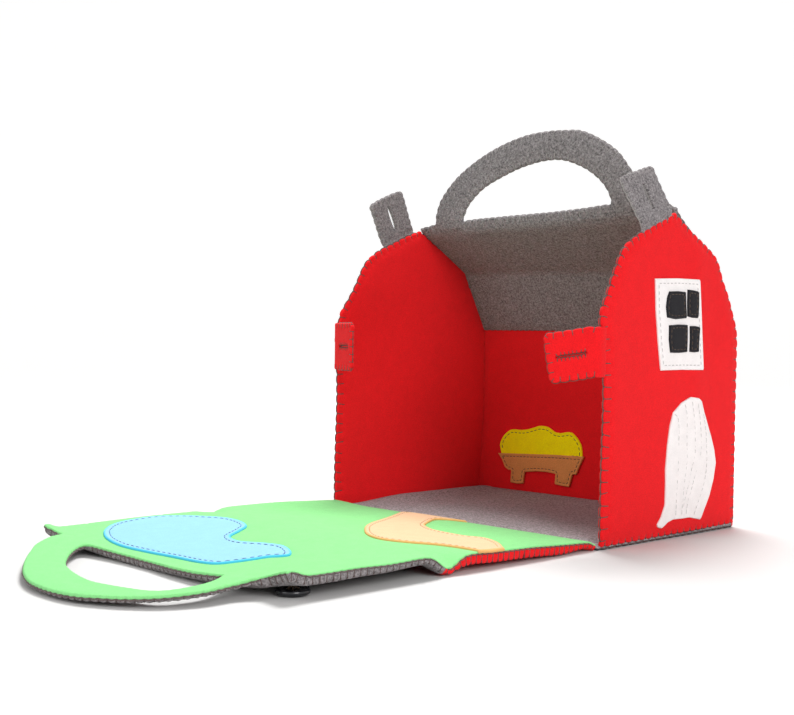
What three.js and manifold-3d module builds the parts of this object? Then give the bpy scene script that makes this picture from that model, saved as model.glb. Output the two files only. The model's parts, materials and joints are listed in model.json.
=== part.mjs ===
// Sewn felt play barn that folds shut into a carrying tote, standing on its floor with its front laid open.
// Millimetres. X runs along the ridge, the front faces -Y, Z points up and the floor's underside is at zero.

import * as THREE from "three";
import { mergeVertices } from "three/addons/utils/BufferGeometryUtils.js";
import Module from "manifold-3d";

const wasm = await Module();
wasm.setup();

// Barn body; the roof's knee and ridge rise above the eave
const barn_width = 205;
const barn_depth = 130;
const eave_height = 117;
const knee_rise = 41;
const ridge_rise = 62.5;
const knee_inset = 19.8;

// Felt plies, the board sewn between them, and the clearances
const felt = 1.2;
const board = 1.5;
const ply_gap = 0.3;
const seam_gap = 0.3;
const fold_gap = 0.3;
const board_inset = 4;
const overrun = 5;

// Front flap, handles and the gap between the two handles when shut
const flap_side_gap = 1;
const handle_half_width = 83;
const handle_foot = 23;
const handle_gap = 0.3;
const handle_inset = 3;
const back_handle_height = 54.5;
const back_handle_band = 16.5;
const front_handle_height = 60;
const front_handle_band = 18;

// Closing tabs with their slits; the wall tabs' middle drops below the eave
const tab_gap = 0.3;
const tab_corner = 3;
const slit_height = 2.6;
const wall_tab_width = 26.5;
const wall_tab_length = 25.5;
const wall_tab_drop = 13.5;
const wall_slit_start = 3.5;
const wall_slit_end = 20.5;
const wall_tab_turn = THREE.MathUtils.degToRad(70);
const roof_tab_width = 28;
const roof_tab_length = 24.6;
const roof_tab_setback = 17.5;
const roof_slit_start = 3.4;
const roof_slit_end = 17.7;

// Buttons, each on a thread shank that passes a slit
const shank_radius = 1;
const slit_end_gap = 0.3;
const wall_button_radius = 5.4;
const wall_button_thickness = 1.8;
const roof_button_radius = 7.5;
const roof_button_thickness = 2.2;
const button_round = 0.5;

// Window, door, hay and manger, cut from felt; the window's middle is lifted above the eave
const window_width = 44.8;
const window_height = 51.2;
const window_lean = 5.9;
const window_shift = 5.4;
const window_lift = 2;
const door_width = 57;
const door_height = 72;
const door_shift = 15.8;
const door_rise = 6.3;
const manger_width = 74;
const manger_height = 22.3;
const manger_shift = -46.5;
const manger_rise = 11.4;
const hay_width = 72;
const hay_height = 21.5;
const hay_rise = 30.8;

const red = 0xc8181d;
const grey = 0x6f6b6c;
const dark_grey = 0x4c4a4c;
const green = 0x45c554;
const blue = 0x35aee0;
const tan = 0xd9a574;
const yellow = 0xe8c414;
const brown = 0xa87744;
const white = 0xf2f0ee;
const black = 0x242424;
const navy = 0x1d2740;
const core = 0xd8d4cc;

// Outlines as shares of the sizes that carry them, each point [across, along]

// Shares of half the flap's width and of the front wall's length
const path_shares = [
  [-0.36, 0.024], [-0.42, 0.07], [-0.31, 0.22], [-0.156, 0.41], [-0.04, 0.56], [0.04, 0.665], [0.174, 0.779],
  [0.28, 0.86], [0.374, 0.908], [0.484, 0.923], [0.604, 0.866], [0.722, 0.814], [0.85, 0.815], [0.97, 0.84],
  [0.97, 0.57], [0.92, 0.545], [0.84, 0.505], [0.76, 0.46], [0.67, 0.423], [0.61, 0.44], [0.548, 0.47],
  [0.47, 0.47], [0.385, 0.451], [0.26, 0.432], [0.17, 0.385], [0.105, 0.32], [0.02, 0.21], [-0.02, 0.12],
  [0.04, 0.024],
];
// Shares of half the flap's width and of the two roof panels' length together
const pond_shares = [
  [-0.702, 0.825], [-0.8, 0.745], [-0.871, 0.662], [-0.92, 0.56], [-0.938, 0.45], [-0.94, 0.36], [-0.914, 0.279],
  [-0.82, 0.2], [-0.685, 0.143], [-0.563, 0.095], [-0.43, 0.105], [-0.301, 0.164], [-0.22, 0.27], [-0.148, 0.397],
  [-0.06, 0.446], [0.022, 0.446], [0.09, 0.42], [0.14, 0.4], [0.2, 0.386], [0.259, 0.388], [0.33, 0.41],
  [0.386, 0.445], [0.44, 0.485], [0.458, 0.53], [0.425, 0.6], [0.405, 0.69], [0.389, 0.775], [0.37, 0.835],
  [0.33, 0.872], [0.22, 0.893], [0.033, 0.9], [-0.16, 0.919], [-0.32, 0.932], [-0.43, 0.93], [-0.551, 0.901],
];
// Shares of the door's width and height
const door_shares = [
  [-0.5, 0.03], [-0.43, 0], [-0.256, 0.064], [0.047, 0.046], [0.226, 0.029], [0.31, 0.11], [0.382, 0.218],
  [0.46, 0.34], [0.5, 0.461], [0.48, 0.57], [0.419, 0.665], [0.33, 0.78], [0.245, 0.878], [0.16, 0.965],
  [0.061, 1], [-0.08, 0.985], [-0.2, 0.94], [-0.288, 0.89], [-0.345, 0.81], [-0.375, 0.725], [-0.39, 0.58],
  [-0.4, 0.442], [-0.407, 0.3], [-0.407, 0.189], [-0.45, 0.1],
];
// Shares of the window's width and height, from its middle
const pane_shares = [
  [[-0.37, 0.35], [0.08, 0.375], [0.06, 0.06], [-0.35, 0.025]],
  [[0.14, 0.385], [0.33, 0.37], [0.31, 0.07], [0.12, 0.08]],
  [[-0.345, -0.015], [0.045, 0.01], [0.025, -0.305], [-0.33, -0.305]],
  [[0.107, -0.016], [0.3, 0], [0.285, -0.303], [0.125, -0.305]],
];
// Shares of the hay's width and height
const hay_shares = [
  [-0.5, 0], [-0.5, 0.12], [-0.44, 0.4], [-0.37, 0.7], [-0.28, 0.8], [-0.18, 0.8], [-0.09, 0.87], [0.01, 0.98],
  [0.1, 1], [0.18, 0.9], [0.28, 0.84], [0.36, 0.87], [0.43, 0.74], [0.49, 0.48], [0.5, 0],
];
// Shares of the manger's width and height
const manger_shares = [
  [-0.5, 0.82], [-0.4, 0.4], [-0.335, 0.36], [-0.333, 0], [-0.173, 0], [-0.165, 0.42], [0.19, 0.43],
  [0.2, 0.1], [0.345, 0.05], [0.37, 0.43], [0.425, 0.46], [0.5, 0.99],
];

const arc_steps = 10;
const arch_steps = 28;
const lathe_steps = 24;

// Sizes worked out from the ones above
const knee_height = eave_height + knee_rise;
const ridge_height = eave_height + ridge_rise;
const wall_tab_height = eave_height - wall_tab_drop;
const window_rise = eave_height + window_lift;
const panel = 2 * felt + board + 2 * ply_gap;
const half_width = barn_width / 2;
const half_depth = barn_depth / 2;
const flap_half = half_width - felt - flap_side_gap;
const wall_bottom = panel + seam_gap;
const tab_thickness = 2 * felt + ply_gap;
const tab_half = tab_thickness / 2;
const root_length = seam_gap + panel;
const tab_reach = root_length + tab_gap + tab_half;
const lower_turn = Math.atan2(knee_inset, knee_height - eave_height);
const upper_turn = Math.atan2(half_depth - knee_inset, ridge_height - knee_height);

// Where each ply lies, measured inwards from its panel's outer face
const outer_ply = [0, felt];
const board_ply = [felt + ply_gap, felt + ply_gap + board];
const lining_ply = [panel - felt, panel];

const part = new THREE.Group();
part.name = "play_barn";

function add(name, geometry, color) {
  const mesh = new THREE.Mesh(geometry, new THREE.MeshStandardMaterial({ color, roughness: 1 }));
  mesh.name = name;
  part.add(mesh);
}

function toSolid(geometry) {
  const bare = geometry.clone();
  bare.deleteAttribute("normal");
  bare.deleteAttribute("uv");
  const merged = mergeVertices(bare);
  return new wasm.Manifold(
    new wasm.Mesh({
      numProp: 3,
      vertProperties: merged.attributes.position.array,
      triVerts: new Uint32Array(merged.index.array),
    }),
  );
}

function toGeometry(solid) {
  const mesh = solid.getMesh();
  const geometry = new THREE.BufferGeometry();
  geometry.setAttribute("position", new THREE.BufferAttribute(mesh.vertProperties, 3));
  geometry.setIndex(new THREE.BufferAttribute(mesh.triVerts, 1));
  return geometry;
}

// Frames: across, along and their cross product, which is the way a plate gets its thickness
function frameOf(origin, across, along) {
  const through = across.clone().cross(along);
  return new THREE.Matrix4().makeBasis(across, along, through).setPosition(origin);
}

const axis_x = new THREE.Vector3(1, 0, 0);
const axis_y = new THREE.Vector3(0, 1, 0);
const axis_z = new THREE.Vector3(0, 0, 1);
const side_frame = frameOf(new THREE.Vector3(), axis_y, axis_z);

function shapeOf(outline) {
  return new THREE.Shape(outline.map(([u, v]) => new THREE.Vector2(u, v)));
}

function plate(frame, outline, [low, high], holes = []) {
  const shape = shapeOf(outline);
  shape.holes = holes.map(shapeOf);
  const geometry = new THREE.ExtrudeGeometry(shape, { depth: high - low, bevelEnabled: false });
  return geometry.translate(0, 0, low).applyMatrix4(frame);
}

function rectangle(left, right, bottom, top) {
  return [[left, bottom], [right, bottom], [right, top], [left, top]];
}

// A closed outline with every side moved outwards by a distance, or inwards by a negative one
function widened(outline, distance) {
  const points = outline.map(([u, v]) => new THREE.Vector2(u, v));
  const sign = THREE.ShapeUtils.isClockWise(points) ? -1 : 1;
  const away = (from, to) => {
    const way = to.clone().sub(from).normalize();
    return new THREE.Vector2(way.y, -way.x).multiplyScalar(sign);
  };
  return points.map((point, i) => {
    const before = away(points.at(i - 1), point);
    const after = away(point, points[(i + 1) % points.length]);
    const shift = before.clone().add(after).multiplyScalar(distance / (1 + before.dot(after)));
    return point.clone().add(shift).toArray();
  });
}

function scaled(shares, across, along, shift = 0, rise = 0) {
  return shares.map(([u, v]) => [shift + u * across, rise + v * along]);
}

// Gable outline seen from the side, front edge first
const gable = [
  [-half_depth, wall_bottom], [-half_depth, eave_height], [knee_inset - half_depth, knee_height],
  [0, ridge_height],
  [half_depth - knee_inset, knee_height], [half_depth, eave_height], [half_depth, wall_bottom],
];

// Where the roof's skin bends at a distance outside the gable: front eave, front knee and ridge
function skin(distance) {
  return widened(gable, distance).slice(1, 4).map(([y, z]) => new THREE.Vector2(y, z));
}

const [inner_eave, inner_knee, inner_ridge] = skin(seam_gap);
const wall_length = inner_eave.y - panel;
const lower_length = inner_eave.distanceTo(inner_knee);
const handle_setback = (handle_gap + panel * (1 - Math.cos(upper_turn))) / Math.sin(upper_turn);
const upper_length = inner_knee.distanceTo(inner_ridge) - handle_setback;
const roof_length = lower_length + upper_length;

// Slope directions of the front roof in [y, z]
const upper_way = new THREE.Vector2(Math.sin(upper_turn), Math.cos(upper_turn));
const upper_out = new THREE.Vector2(-Math.cos(upper_turn), Math.sin(upper_turn));

// Floor
const plan_frame = frameOf(new THREE.Vector3(), axis_x, axis_y);
const floor_outline = rectangle(-half_width, half_width, -half_depth, half_depth);
const board_of = (outline) => widened(outline, -board_inset);
add("floor_base", plate(plan_frame, floor_outline, outer_ply), dark_grey);
add("floor_stiffener", plate(plan_frame, board_of(floor_outline), board_ply), core);
add("floor_lining", plate(plan_frame, floor_outline, lining_ply), grey);

// End walls; the outer felt carries the roots of both closing tabs
const wall_root = [
  [-half_depth, wall_tab_height - wall_tab_width / 2],
  [-half_depth - root_length, wall_tab_height - wall_tab_width / 2],
  [-half_depth - root_length, wall_tab_height + wall_tab_width / 2],
  [-half_depth, wall_tab_height + wall_tab_width / 2],
];
const gable_ridge = new THREE.Vector2(0, ridge_height);
const onSlope = (setback, lift) =>
  gable_ridge.clone().addScaledVector(upper_way, -setback).addScaledVector(upper_out, lift).toArray();
const roof_root = [
  onSlope(roof_tab_setback + roof_tab_width / 2, 0),
  onSlope(roof_tab_setback + roof_tab_width / 2, root_length),
  onSlope(roof_tab_setback - roof_tab_width / 2, root_length),
  onSlope(roof_tab_setback - roof_tab_width / 2, 0),
];
const rooted_gable = [gable[0], ...wall_root, ...gable.slice(1, 3), ...roof_root, ...gable.slice(3)];

function endRange(side, [near, far]) {
  return side > 0 ? [half_width - far, half_width - near] : [near - half_width, far - half_width];
}

for (const [name, side] of [["left_end", -1], ["right_end", 1]]) {
  add(name + "_outer", plate(side_frame, rooted_gable, endRange(side, outer_ply)), red);
  add(name + "_stiffener", plate(side_frame, board_of(gable), endRange(side, board_ply)), core);
  add(name + "_lining", plate(side_frame, gable, endRange(side, lining_ply)), red);
}

// Back wall, from the table up to the eave
const back_face = half_depth + seam_gap + panel;
const back_frame = frameOf(new THREE.Vector3(0, back_face, 0), axis_x, axis_z);
const back_outline = rectangle(-half_width, half_width, 0, inner_eave.y - fold_gap);
add("back_wall_outer", plate(back_frame, back_outline, outer_ply), red);
add("back_wall_stiffener", plate(back_frame, board_of(back_outline), board_ply), core);
add("back_wall_lining", plate(back_frame, back_outline, lining_ply), red);

// Back roof: one bent strip of felt inside and one outside, with a board in each slope
const roof_end = inner_ridge.clone().addScaledVector(upper_way, -handle_setback);
const endOfSkin = (distance) => roof_end.clone().addScaledVector(upper_out, distance - seam_gap);
const toBack = (points) => points.map((point) => [-point.x, point.y]);

function skinStrip([near, far]) {
  const [outside, inside] = [seam_gap + panel - near, seam_gap + panel - far];
  const [eave_out, knee_out] = skin(outside);
  const [eave_in, knee_in] = skin(inside);
  return toBack([eave_out, knee_out, endOfSkin(outside), endOfSkin(inside), knee_in, eave_in]);
}

function skinBoard(start, end, out) {
  const way = end.clone().sub(start).normalize();
  const low = start.clone().addScaledVector(way, board_inset);
  const high = end.clone().addScaledVector(way, -board_inset);
  const [near, far] = board_ply.map((depth) => panel - depth);
  return toBack([
    low.clone().addScaledVector(out, near), high.clone().addScaledVector(out, near),
    high.clone().addScaledVector(out, far), low.clone().addScaledVector(out, far),
  ]);
}

const lower_out = new THREE.Vector2(-Math.cos(lower_turn), Math.sin(lower_turn));
const full_span = [-half_width, half_width];
const board_span = [board_inset - half_width, half_width - board_inset];
add("back_roof_outer", plate(side_frame, skinStrip(outer_ply), full_span), grey);
add("back_roof_lining", plate(side_frame, skinStrip(lining_ply), full_span), grey);
add(
  "back_roof_lower_stiffener",
  plate(side_frame, skinBoard(inner_eave, inner_knee, lower_out), board_span),
  core,
);
add(
  "back_roof_upper_stiffener",
  plate(side_frame, skinBoard(inner_knee, roof_end, upper_out), board_span),
  core,
);

// Arched handles, drawn upwards from the ridge edge
function arc(across, along, base, steps) {
  const start = Math.asin(base / along);
  return Array.from({ length: steps + 1 }, (_, i) => {
    const angle = start + ((Math.PI - 2 * start) * i) / steps;
    return [across * Math.cos(angle), along * Math.sin(angle)];
  });
}

function arch(height, band, inset) {
  const outside = arc(handle_half_width - inset, height - inset, inset, arch_steps);
  const inside = arc(handle_half_width - handle_foot + inset, height - band + inset, inset, arch_steps);
  return [...outside, ...inside.reverse()];
}

// The back handle stands on the back roof's upper edge
const back_handle_foot = endOfSkin(seam_gap + panel).y + seam_gap;
const back_handle_frame = frameOf(
  new THREE.Vector3(0, handle_gap + panel, back_handle_foot), axis_x, axis_z,
);
const back_arch = arch(back_handle_height, back_handle_band, 0);
const back_arch_board = arch(back_handle_height, back_handle_band, handle_inset);
add("back_handle_outer", plate(back_handle_frame, back_arch, outer_ply), grey);
add("back_handle_core", plate(back_handle_frame, back_arch_board, board_ply), core);
add("back_handle_lining", plate(back_handle_frame, back_arch, lining_ply), grey);

// Buttons: a shank long enough for a tab, then the head
const shank_length = tab_gap + tab_thickness;
const wall_button_stand = tab_gap + shank_length + wall_button_thickness;
const roof_button_stand = tab_gap + shank_length + roof_button_thickness;
const wall_button_reach = wall_tab_height - panel;
const button_end = slit_end_gap + shank_radius;
const tab_line = half_width - felt / 2;
const wall_button_across = tab_line - wall_slit_end + button_end;
const roof_button_across = tab_line - roof_slit_end + button_end;

// The flap lies on its buttons: the wall panel rises from its hinge until the lower rims of its buttons touch
// the table, and the roof panels fall from there until the rims of theirs do.
const wall_rim = wall_button_reach - wall_button_radius;
const wall_drop = panel + wall_button_stand;
const wall_rise = Math.atan2(wall_drop, wall_rim) - Math.asin(panel / Math.hypot(wall_drop, wall_rim));

function flapFrame(hinge, rise) {
  const along = new THREE.Vector3(0, -Math.cos(rise), Math.sin(rise));
  return frameOf(new THREE.Vector3(0, hinge.x, hinge.y), axis_x, along);
}

function alongFlap(hinge, rise, length) {
  return hinge.clone().add(new THREE.Vector2(-Math.cos(rise), Math.sin(rise)).multiplyScalar(length));
}

const wall_hinge = new THREE.Vector2(-half_depth - seam_gap, panel);
const eave_hinge = alongFlap(wall_hinge, wall_rise, wall_length);
const button_setback = lower_length + inner_knee.distanceTo(inner_ridge) - roof_tab_setback;
const roof_rim = button_setback + roof_button_radius;
const roof_drop = panel + roof_button_stand;
const roof_fall = Math.asin(eave_hinge.y / Math.hypot(roof_rim, roof_drop)) - Math.atan2(roof_drop, roof_rim);
const knee_hinge = alongFlap(eave_hinge, -roof_fall, lower_length);
const handle_edge = alongFlap(knee_hinge, -roof_fall, upper_length);
const handle_hinge = handle_edge
  .clone()
  .add(new THREE.Vector2(Math.sin(roof_fall), -Math.cos(roof_fall)).multiplyScalar(panel));
const handle_fall = Math.asin(handle_hinge.y / (front_handle_height + fold_gap / 2));

const wall_frame = flapFrame(wall_hinge, wall_rise);
const lower_frame = flapFrame(eave_hinge, -roof_fall);
const upper_frame = flapFrame(knee_hinge, -roof_fall);
const handle_frame = flapFrame(handle_hinge, -handle_fall);

const fromGreen = ([near, far]) => [panel - far, panel - near];
const fromHinge = ([near, far]) => [-far, -near];

// The eave fold is bent backwards at rest, so both its panels stop a little earlier
const eave_relief = panel * Math.tan((wall_rise + roof_fall) / 2);

function addFlap(name, frame, start, end, color) {
  const outline = rectangle(-flap_half, flap_half, start + fold_gap / 2, end - fold_gap / 2);
  add(name + "_outer", plate(frame, outline, fromGreen(outer_ply)), color);
  add(name + "_stiffener", plate(frame, board_of(outline), fromGreen(board_ply)), core);
  add(name + "_lining", plate(frame, outline, fromGreen(lining_ply)), green);
}

addFlap("front_wall", wall_frame, 0, wall_length - eave_relief, red);
addFlap("front_roof_lower", lower_frame, eave_relief, lower_length, grey);
addFlap("front_roof_upper", upper_frame, 0, upper_length, grey);

const raised = (outline) => outline.map(([u, v]) => [u, v + fold_gap / 2]);
const front_arch = raised(arch(front_handle_height, front_handle_band, 0));
const front_arch_board = raised(arch(front_handle_height, front_handle_band, handle_inset));
add("front_handle_outer", plate(handle_frame, front_arch, fromHinge(outer_ply)), grey);
add("front_handle_core", plate(handle_frame, front_arch_board, fromHinge(board_ply)), core);
add("front_handle_lining", plate(handle_frame, front_arch, fromHinge(lining_ply)), green);

// Flat felt shapes sewn on a face, which lie one ply gap off it
const on_face = [-ply_gap - felt, -ply_gap];
add("path", plate(wall_frame, scaled(path_shares, flap_half, wall_length), on_face), tan);

// Folding the knee turns the pond's parts towards each other, so both stop short of the fold
const pond_relief = (ply_gap + felt) * Math.tan((upper_turn - lower_turn) / 2) + fold_gap / 2;
const pond_outline = scaled(pond_shares, flap_half, roof_length);
const pondPart = (low, high) => {
  const pond = toSolid(plate(lower_frame, pond_outline, on_face));
  const strip = rectangle(-flap_half, flap_half, low, high);
  const kept = toSolid(plate(lower_frame, strip, [-overrun, overrun]));
  return toGeometry(pond.intersect(kept));
};
add("pond_lower", pondPart(0, lower_length - pond_relief), blue);
add("pond_upper", pondPart(lower_length + pond_relief, roof_length), blue);

const right_face = frameOf(new THREE.Vector3(half_width, 0, 0), axis_y, axis_z);
const off_face = [ply_gap, ply_gap + felt];
const off_applique = off_face.map((depth) => depth + ply_gap + felt);
const leaning = (shares) =>
  shares.map(([u, v]) => [
    window_shift + u * window_width - v * window_lean,
    window_rise + v * window_height,
  ]);
const window_shares = rectangle(-0.5, 0.5, -0.5, 0.5);
add("window_frame", plate(right_face, leaning(window_shares), off_face), white);
pane_shares.forEach((shares, i) =>
  add("window_pane_" + (i + 1), plate(right_face, leaning(shares), off_applique), black),
);
add(
  "barn_door",
  plate(right_face, scaled(door_shares, door_width, door_height, door_shift, door_rise), off_face),
  white,
);

const back_lining_frame = frameOf(new THREE.Vector3(0, half_depth + seam_gap, 0), axis_x, axis_z);
const hay = scaled(hay_shares, hay_width, hay_height, manger_shift, hay_rise);
const manger = scaled(manger_shares, manger_width, manger_height, manger_shift, manger_rise);
add("hay_pile", plate(back_lining_frame, hay, off_face), yellow);
add("manger", plate(back_lining_frame, manger, off_applique), brown);

// Buttons under the flap
function button(frame, across, along, radius, thickness) {
  const neck = shank_length;
  const rim = neck + thickness;
  const profile = [
    [0, 0], [shank_radius, 0], [shank_radius, neck], [radius - button_round, neck],
    [radius, neck + button_round], [radius, rim - button_round], [radius - button_round, rim], [0, rim],
  ].map(([r, h]) => new THREE.Vector2(r, h));
  const geometry = new THREE.LatheGeometry(profile, lathe_steps).rotateX(Math.PI / 2);
  return geometry.translate(across, along, panel + tab_gap).applyMatrix4(frame);
}

for (const [name, side] of [["left", -1], ["right", 1]]) {
  add(
    name + "_wall_button",
    button(wall_frame, side * wall_button_across, wall_button_reach, wall_button_radius, wall_button_thickness),
    navy,
  );
  add(
    name + "_roof_button",
    button(
      upper_frame, side * roof_button_across, button_setback - lower_length, roof_button_radius,
      roof_button_thickness,
    ),
    black,
  );
}

// Closing tabs: two plies whose root end is round about the fold, so that they turn clear of their root
const tab_plies = { outer: [-tab_half, -ply_gap / 2], lining: [ply_gap / 2, tab_half] };

function tongueOutline(length, width) {
  const tip = [];
  for (const [side, start] of [[-1, -Math.PI / 2], [1, 0]])
    for (let i = 0; i <= arc_steps; i++) {
      const angle = start + (Math.PI / 2) * (i / arc_steps);
      tip.push([
        length - tab_corner + tab_corner * Math.cos(angle),
        side * (width / 2 - tab_corner) + tab_corner * Math.sin(angle),
      ]);
    }
  return [[-overrun, -width / 2], ...tip, [-overrun, width / 2]];
}

function tonguePly([low, high], length) {
  const side = high > 0 ? 1 : -1;
  const near = Math.min(Math.abs(low), Math.abs(high));
  const start = Math.asin(near / tab_half);
  const round = Array.from({ length: arc_steps + 1 }, (_, i) => {
    const angle = Math.PI / 2 + ((Math.PI / 2 - start) * i) / arc_steps;
    return [tab_half * Math.cos(angle), side * tab_half * Math.sin(angle)];
  });
  const outline = [[length, side * near], [length, side * tab_half], ...round];
  return side > 0 ? outline : outline.reverse();
}

function tab(frame, ply, length, width, slit_start, slit_end) {
  const local = new THREE.Matrix4();
  const slit = rectangle(slit_start, slit_end, -slit_height / 2, slit_height / 2);
  const face = toSolid(plate(local, tongueOutline(length, width), [-tab_thickness, tab_thickness], [slit]));
  const edge_on = frameOf(new THREE.Vector3(), axis_x, axis_z);
  const edge = toSolid(plate(edge_on, tonguePly(ply, length), [-width, width]));
  return toGeometry(face.intersect(edge)).applyMatrix4(frame);
}

const [roof_tab_y, roof_tab_z] = onSlope(roof_tab_setback, tab_reach);
for (const [name, side] of [["left", -1], ["right", 1]]) {
  const across_wall = new THREE.Vector3(-side * Math.sin(wall_tab_turn), -Math.cos(wall_tab_turn), 0);
  const wall_tab_frame = frameOf(
    new THREE.Vector3(side * tab_line, -half_depth - tab_reach, wall_tab_height),
    across_wall,
    axis_z.clone().multiplyScalar(side),
  );
  const roof_tab_frame = frameOf(
    new THREE.Vector3(side * tab_line, roof_tab_y, roof_tab_z),
    new THREE.Vector3(0, upper_out.x, upper_out.y),
    new THREE.Vector3(0, upper_way.x, upper_way.y).multiplyScalar(side),
  );
  for (const [ply_name, ply] of Object.entries(tab_plies)) {
    add(
      name + "_wall_tab_" + ply_name,
      tab(wall_tab_frame, ply, wall_tab_length, wall_tab_width, wall_slit_start, wall_slit_end),
      red,
    );
    add(
      name + "_roof_tab_" + ply_name,
      tab(roof_tab_frame, ply, roof_tab_length, roof_tab_width, roof_slit_start, roof_slit_end),
      grey,
    );
  }
}

export default part;
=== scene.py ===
"""Looks of the sewn felt play barn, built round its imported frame.

Lengths are worked out in millimetres in the row frame (X along the ridge, the open front towards -Y, Z up)
and turned to metres when a mesh is made. Every sewn panel is two felts cut alike and closed at their edge
with blanket stitches, so one cut shape gives the outer felt, the inner felt and the thread.
"""

import json
import math
from types import SimpleNamespace

import bpy
import numpy as np
from bpy.props import FloatProperty, FloatVectorProperty, PointerProperty
from mathutils import Matrix, Vector
from mathutils.geometry import delaunay_2d_cdt


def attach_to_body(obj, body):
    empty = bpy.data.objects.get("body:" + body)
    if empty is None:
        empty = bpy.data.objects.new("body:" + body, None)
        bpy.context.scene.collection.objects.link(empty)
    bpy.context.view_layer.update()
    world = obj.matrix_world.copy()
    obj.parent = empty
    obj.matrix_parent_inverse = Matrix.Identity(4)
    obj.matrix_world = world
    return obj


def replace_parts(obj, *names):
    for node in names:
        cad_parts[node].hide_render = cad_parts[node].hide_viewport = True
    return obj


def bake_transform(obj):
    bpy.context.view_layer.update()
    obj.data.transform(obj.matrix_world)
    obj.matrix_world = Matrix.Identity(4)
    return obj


bl_info = {
    "name": "Felt play barn",
    "version": (1, 0, 0),
    "blender": (4, 5, 0),
    "location": "3D View > Sidebar > Barn",
    "description": "Builds a hand-sewn felt play barn whose front lies open as a play mat",
    "category": "Add Mesh",
}

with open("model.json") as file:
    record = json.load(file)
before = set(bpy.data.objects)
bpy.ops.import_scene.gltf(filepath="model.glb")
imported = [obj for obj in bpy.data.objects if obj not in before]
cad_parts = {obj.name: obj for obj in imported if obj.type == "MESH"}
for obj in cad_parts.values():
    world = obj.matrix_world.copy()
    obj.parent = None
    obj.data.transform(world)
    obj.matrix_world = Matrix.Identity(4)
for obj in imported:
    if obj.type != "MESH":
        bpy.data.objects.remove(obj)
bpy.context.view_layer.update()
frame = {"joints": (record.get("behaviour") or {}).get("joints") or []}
PICTURE_WIDTH = 794
"""Width of the picture in pixels."""
FOCAL_LENGTH = 1265.2
"""Focal length of the camera fitted to the picture, in its pixels."""
CAMERA_TURN = 46.17
"""How far that camera stands round from the barn's front, in degrees."""
FAR = 1e3
"""Past any end of a shape, in millimetres."""
WALL_BOW = 5.6
"""How far the left wall's front edge bows outwards, in millimetres."""
SLACK = 0.1
"""How far a panel's faces lie inside its full thickness, in millimetres."""


# Settings


def linear(code):
    """Linear colour of an sRGB hex code: each channel c is c/12.92 below 0.04045, else
    ((c+0.055)/1.055)^2.4."""
    channels = np.array([int(code[i : i + 2], 16) / 255 for i in (1, 3, 5)])
    values = np.where(channels <= 0.04045, channels / 12.92, ((channels + 0.055) / 1.055) ** 2.4)
    return [*values.tolist(), 1.0]


def length(name, description, millimetres):
    """Setting for a length, whose default is given in millimetres."""
    return FloatProperty(name=name, description=description, default=millimetres / 1000, unit="LENGTH")


def colour(name, description, code):
    """Setting for a colour, whose default is given as an sRGB hex code."""
    value = linear(code)
    return FloatVectorProperty(name=name, description=description, default=value, size=4, subtype="COLOR")


class BarnSizes(bpy.types.PropertyGroup):
    """Sizes of the barn, its flap, handles and tabs."""

    width: length("Barn width", "Between the outer faces of the end walls", 205)
    depth: length("Barn depth", "From the front edge to the back edge of the floor", 130)
    eave: length("Eave height", "From the table to the eave", 117)
    knee_rise: length("Knee rise", "From the eave up to the bend in the roof", 41)
    ridge_rise: length("Ridge rise", "From the eave up to the ridge", 62.5)
    knee_inset: length("Knee inset", "How far the bend stands in from the wall", 19.8)
    panel: length("Panel thickness", "Two felts and the board between them", 4.5)
    edge: length("Edge thickness", "Two felts pulled together by the stitches", 2.7)
    flap_half: length("Half flap width", "From the middle of the flap to its side", 100.3)
    handle_half: length("Half handle width", "From the middle of a handle to its outer foot", 83)
    back_handle: length("Back handle height", "How far the back handle rises", 54.5)
    front_handle: length("Front handle height", "How far the front handle reaches", 61)


class BarnSewing(bpy.types.PropertyGroup):
    """How the felt is sewn."""

    pitch: length("Stitch spacing", "Between the blanket stitches of a panel", 6.2)
    tab_pitch: length("Tab stitch spacing", "Between the blanket stitches of a tab or handle", 4.7)
    depth: length("Stitch depth", "From a panel's edge to the needle hole", 5.2)
    thread: length("Thread radius", "Half the thickness of the sewing thread", 0.3)
    fine_thread: length("Fine thread radius", "Half the thickness of the thread on the small shapes", 0.24)


class BarnColours(bpy.types.PropertyGroup):
    """Colours of the felt, thread and buttons."""

    red: colour("Red felt", "Walls and wall tabs", "#E1181E")
    grey: colour("Heather grey felt", "Roof, floor, handles and roof tabs", "#767172")
    base: colour("Dark grey felt", "Underside of the floor", "#3B3C44")
    green: colour("Green felt", "Play side of the flap", "#81CD81")
    blue: colour("Blue felt", "Pond", "#8BBFE0")
    tan: colour("Tan felt", "Path", "#DFB992")
    yellow: colour("Yellow felt", "Hay", "#FFEE06")
    brown: colour("Brown felt", "Manger", "#D48F52")
    white: colour("White felt", "Window and door", "#EBE6E5")
    black: colour("Black felt", "Window panes", "#201F22")
    thread: colour("Grey thread", "Blanket stitches", "#513F3B")
    button: colour("Navy button", "Buttons under the wall", "#1B2440")


# Meshes


def smooth(t):
    """Smooth step 3t^2 - 2t^3 of t held between 0 and 1."""
    t = np.clip(t, 0, 1)
    return t * t * (3 - 2 * t)


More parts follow.
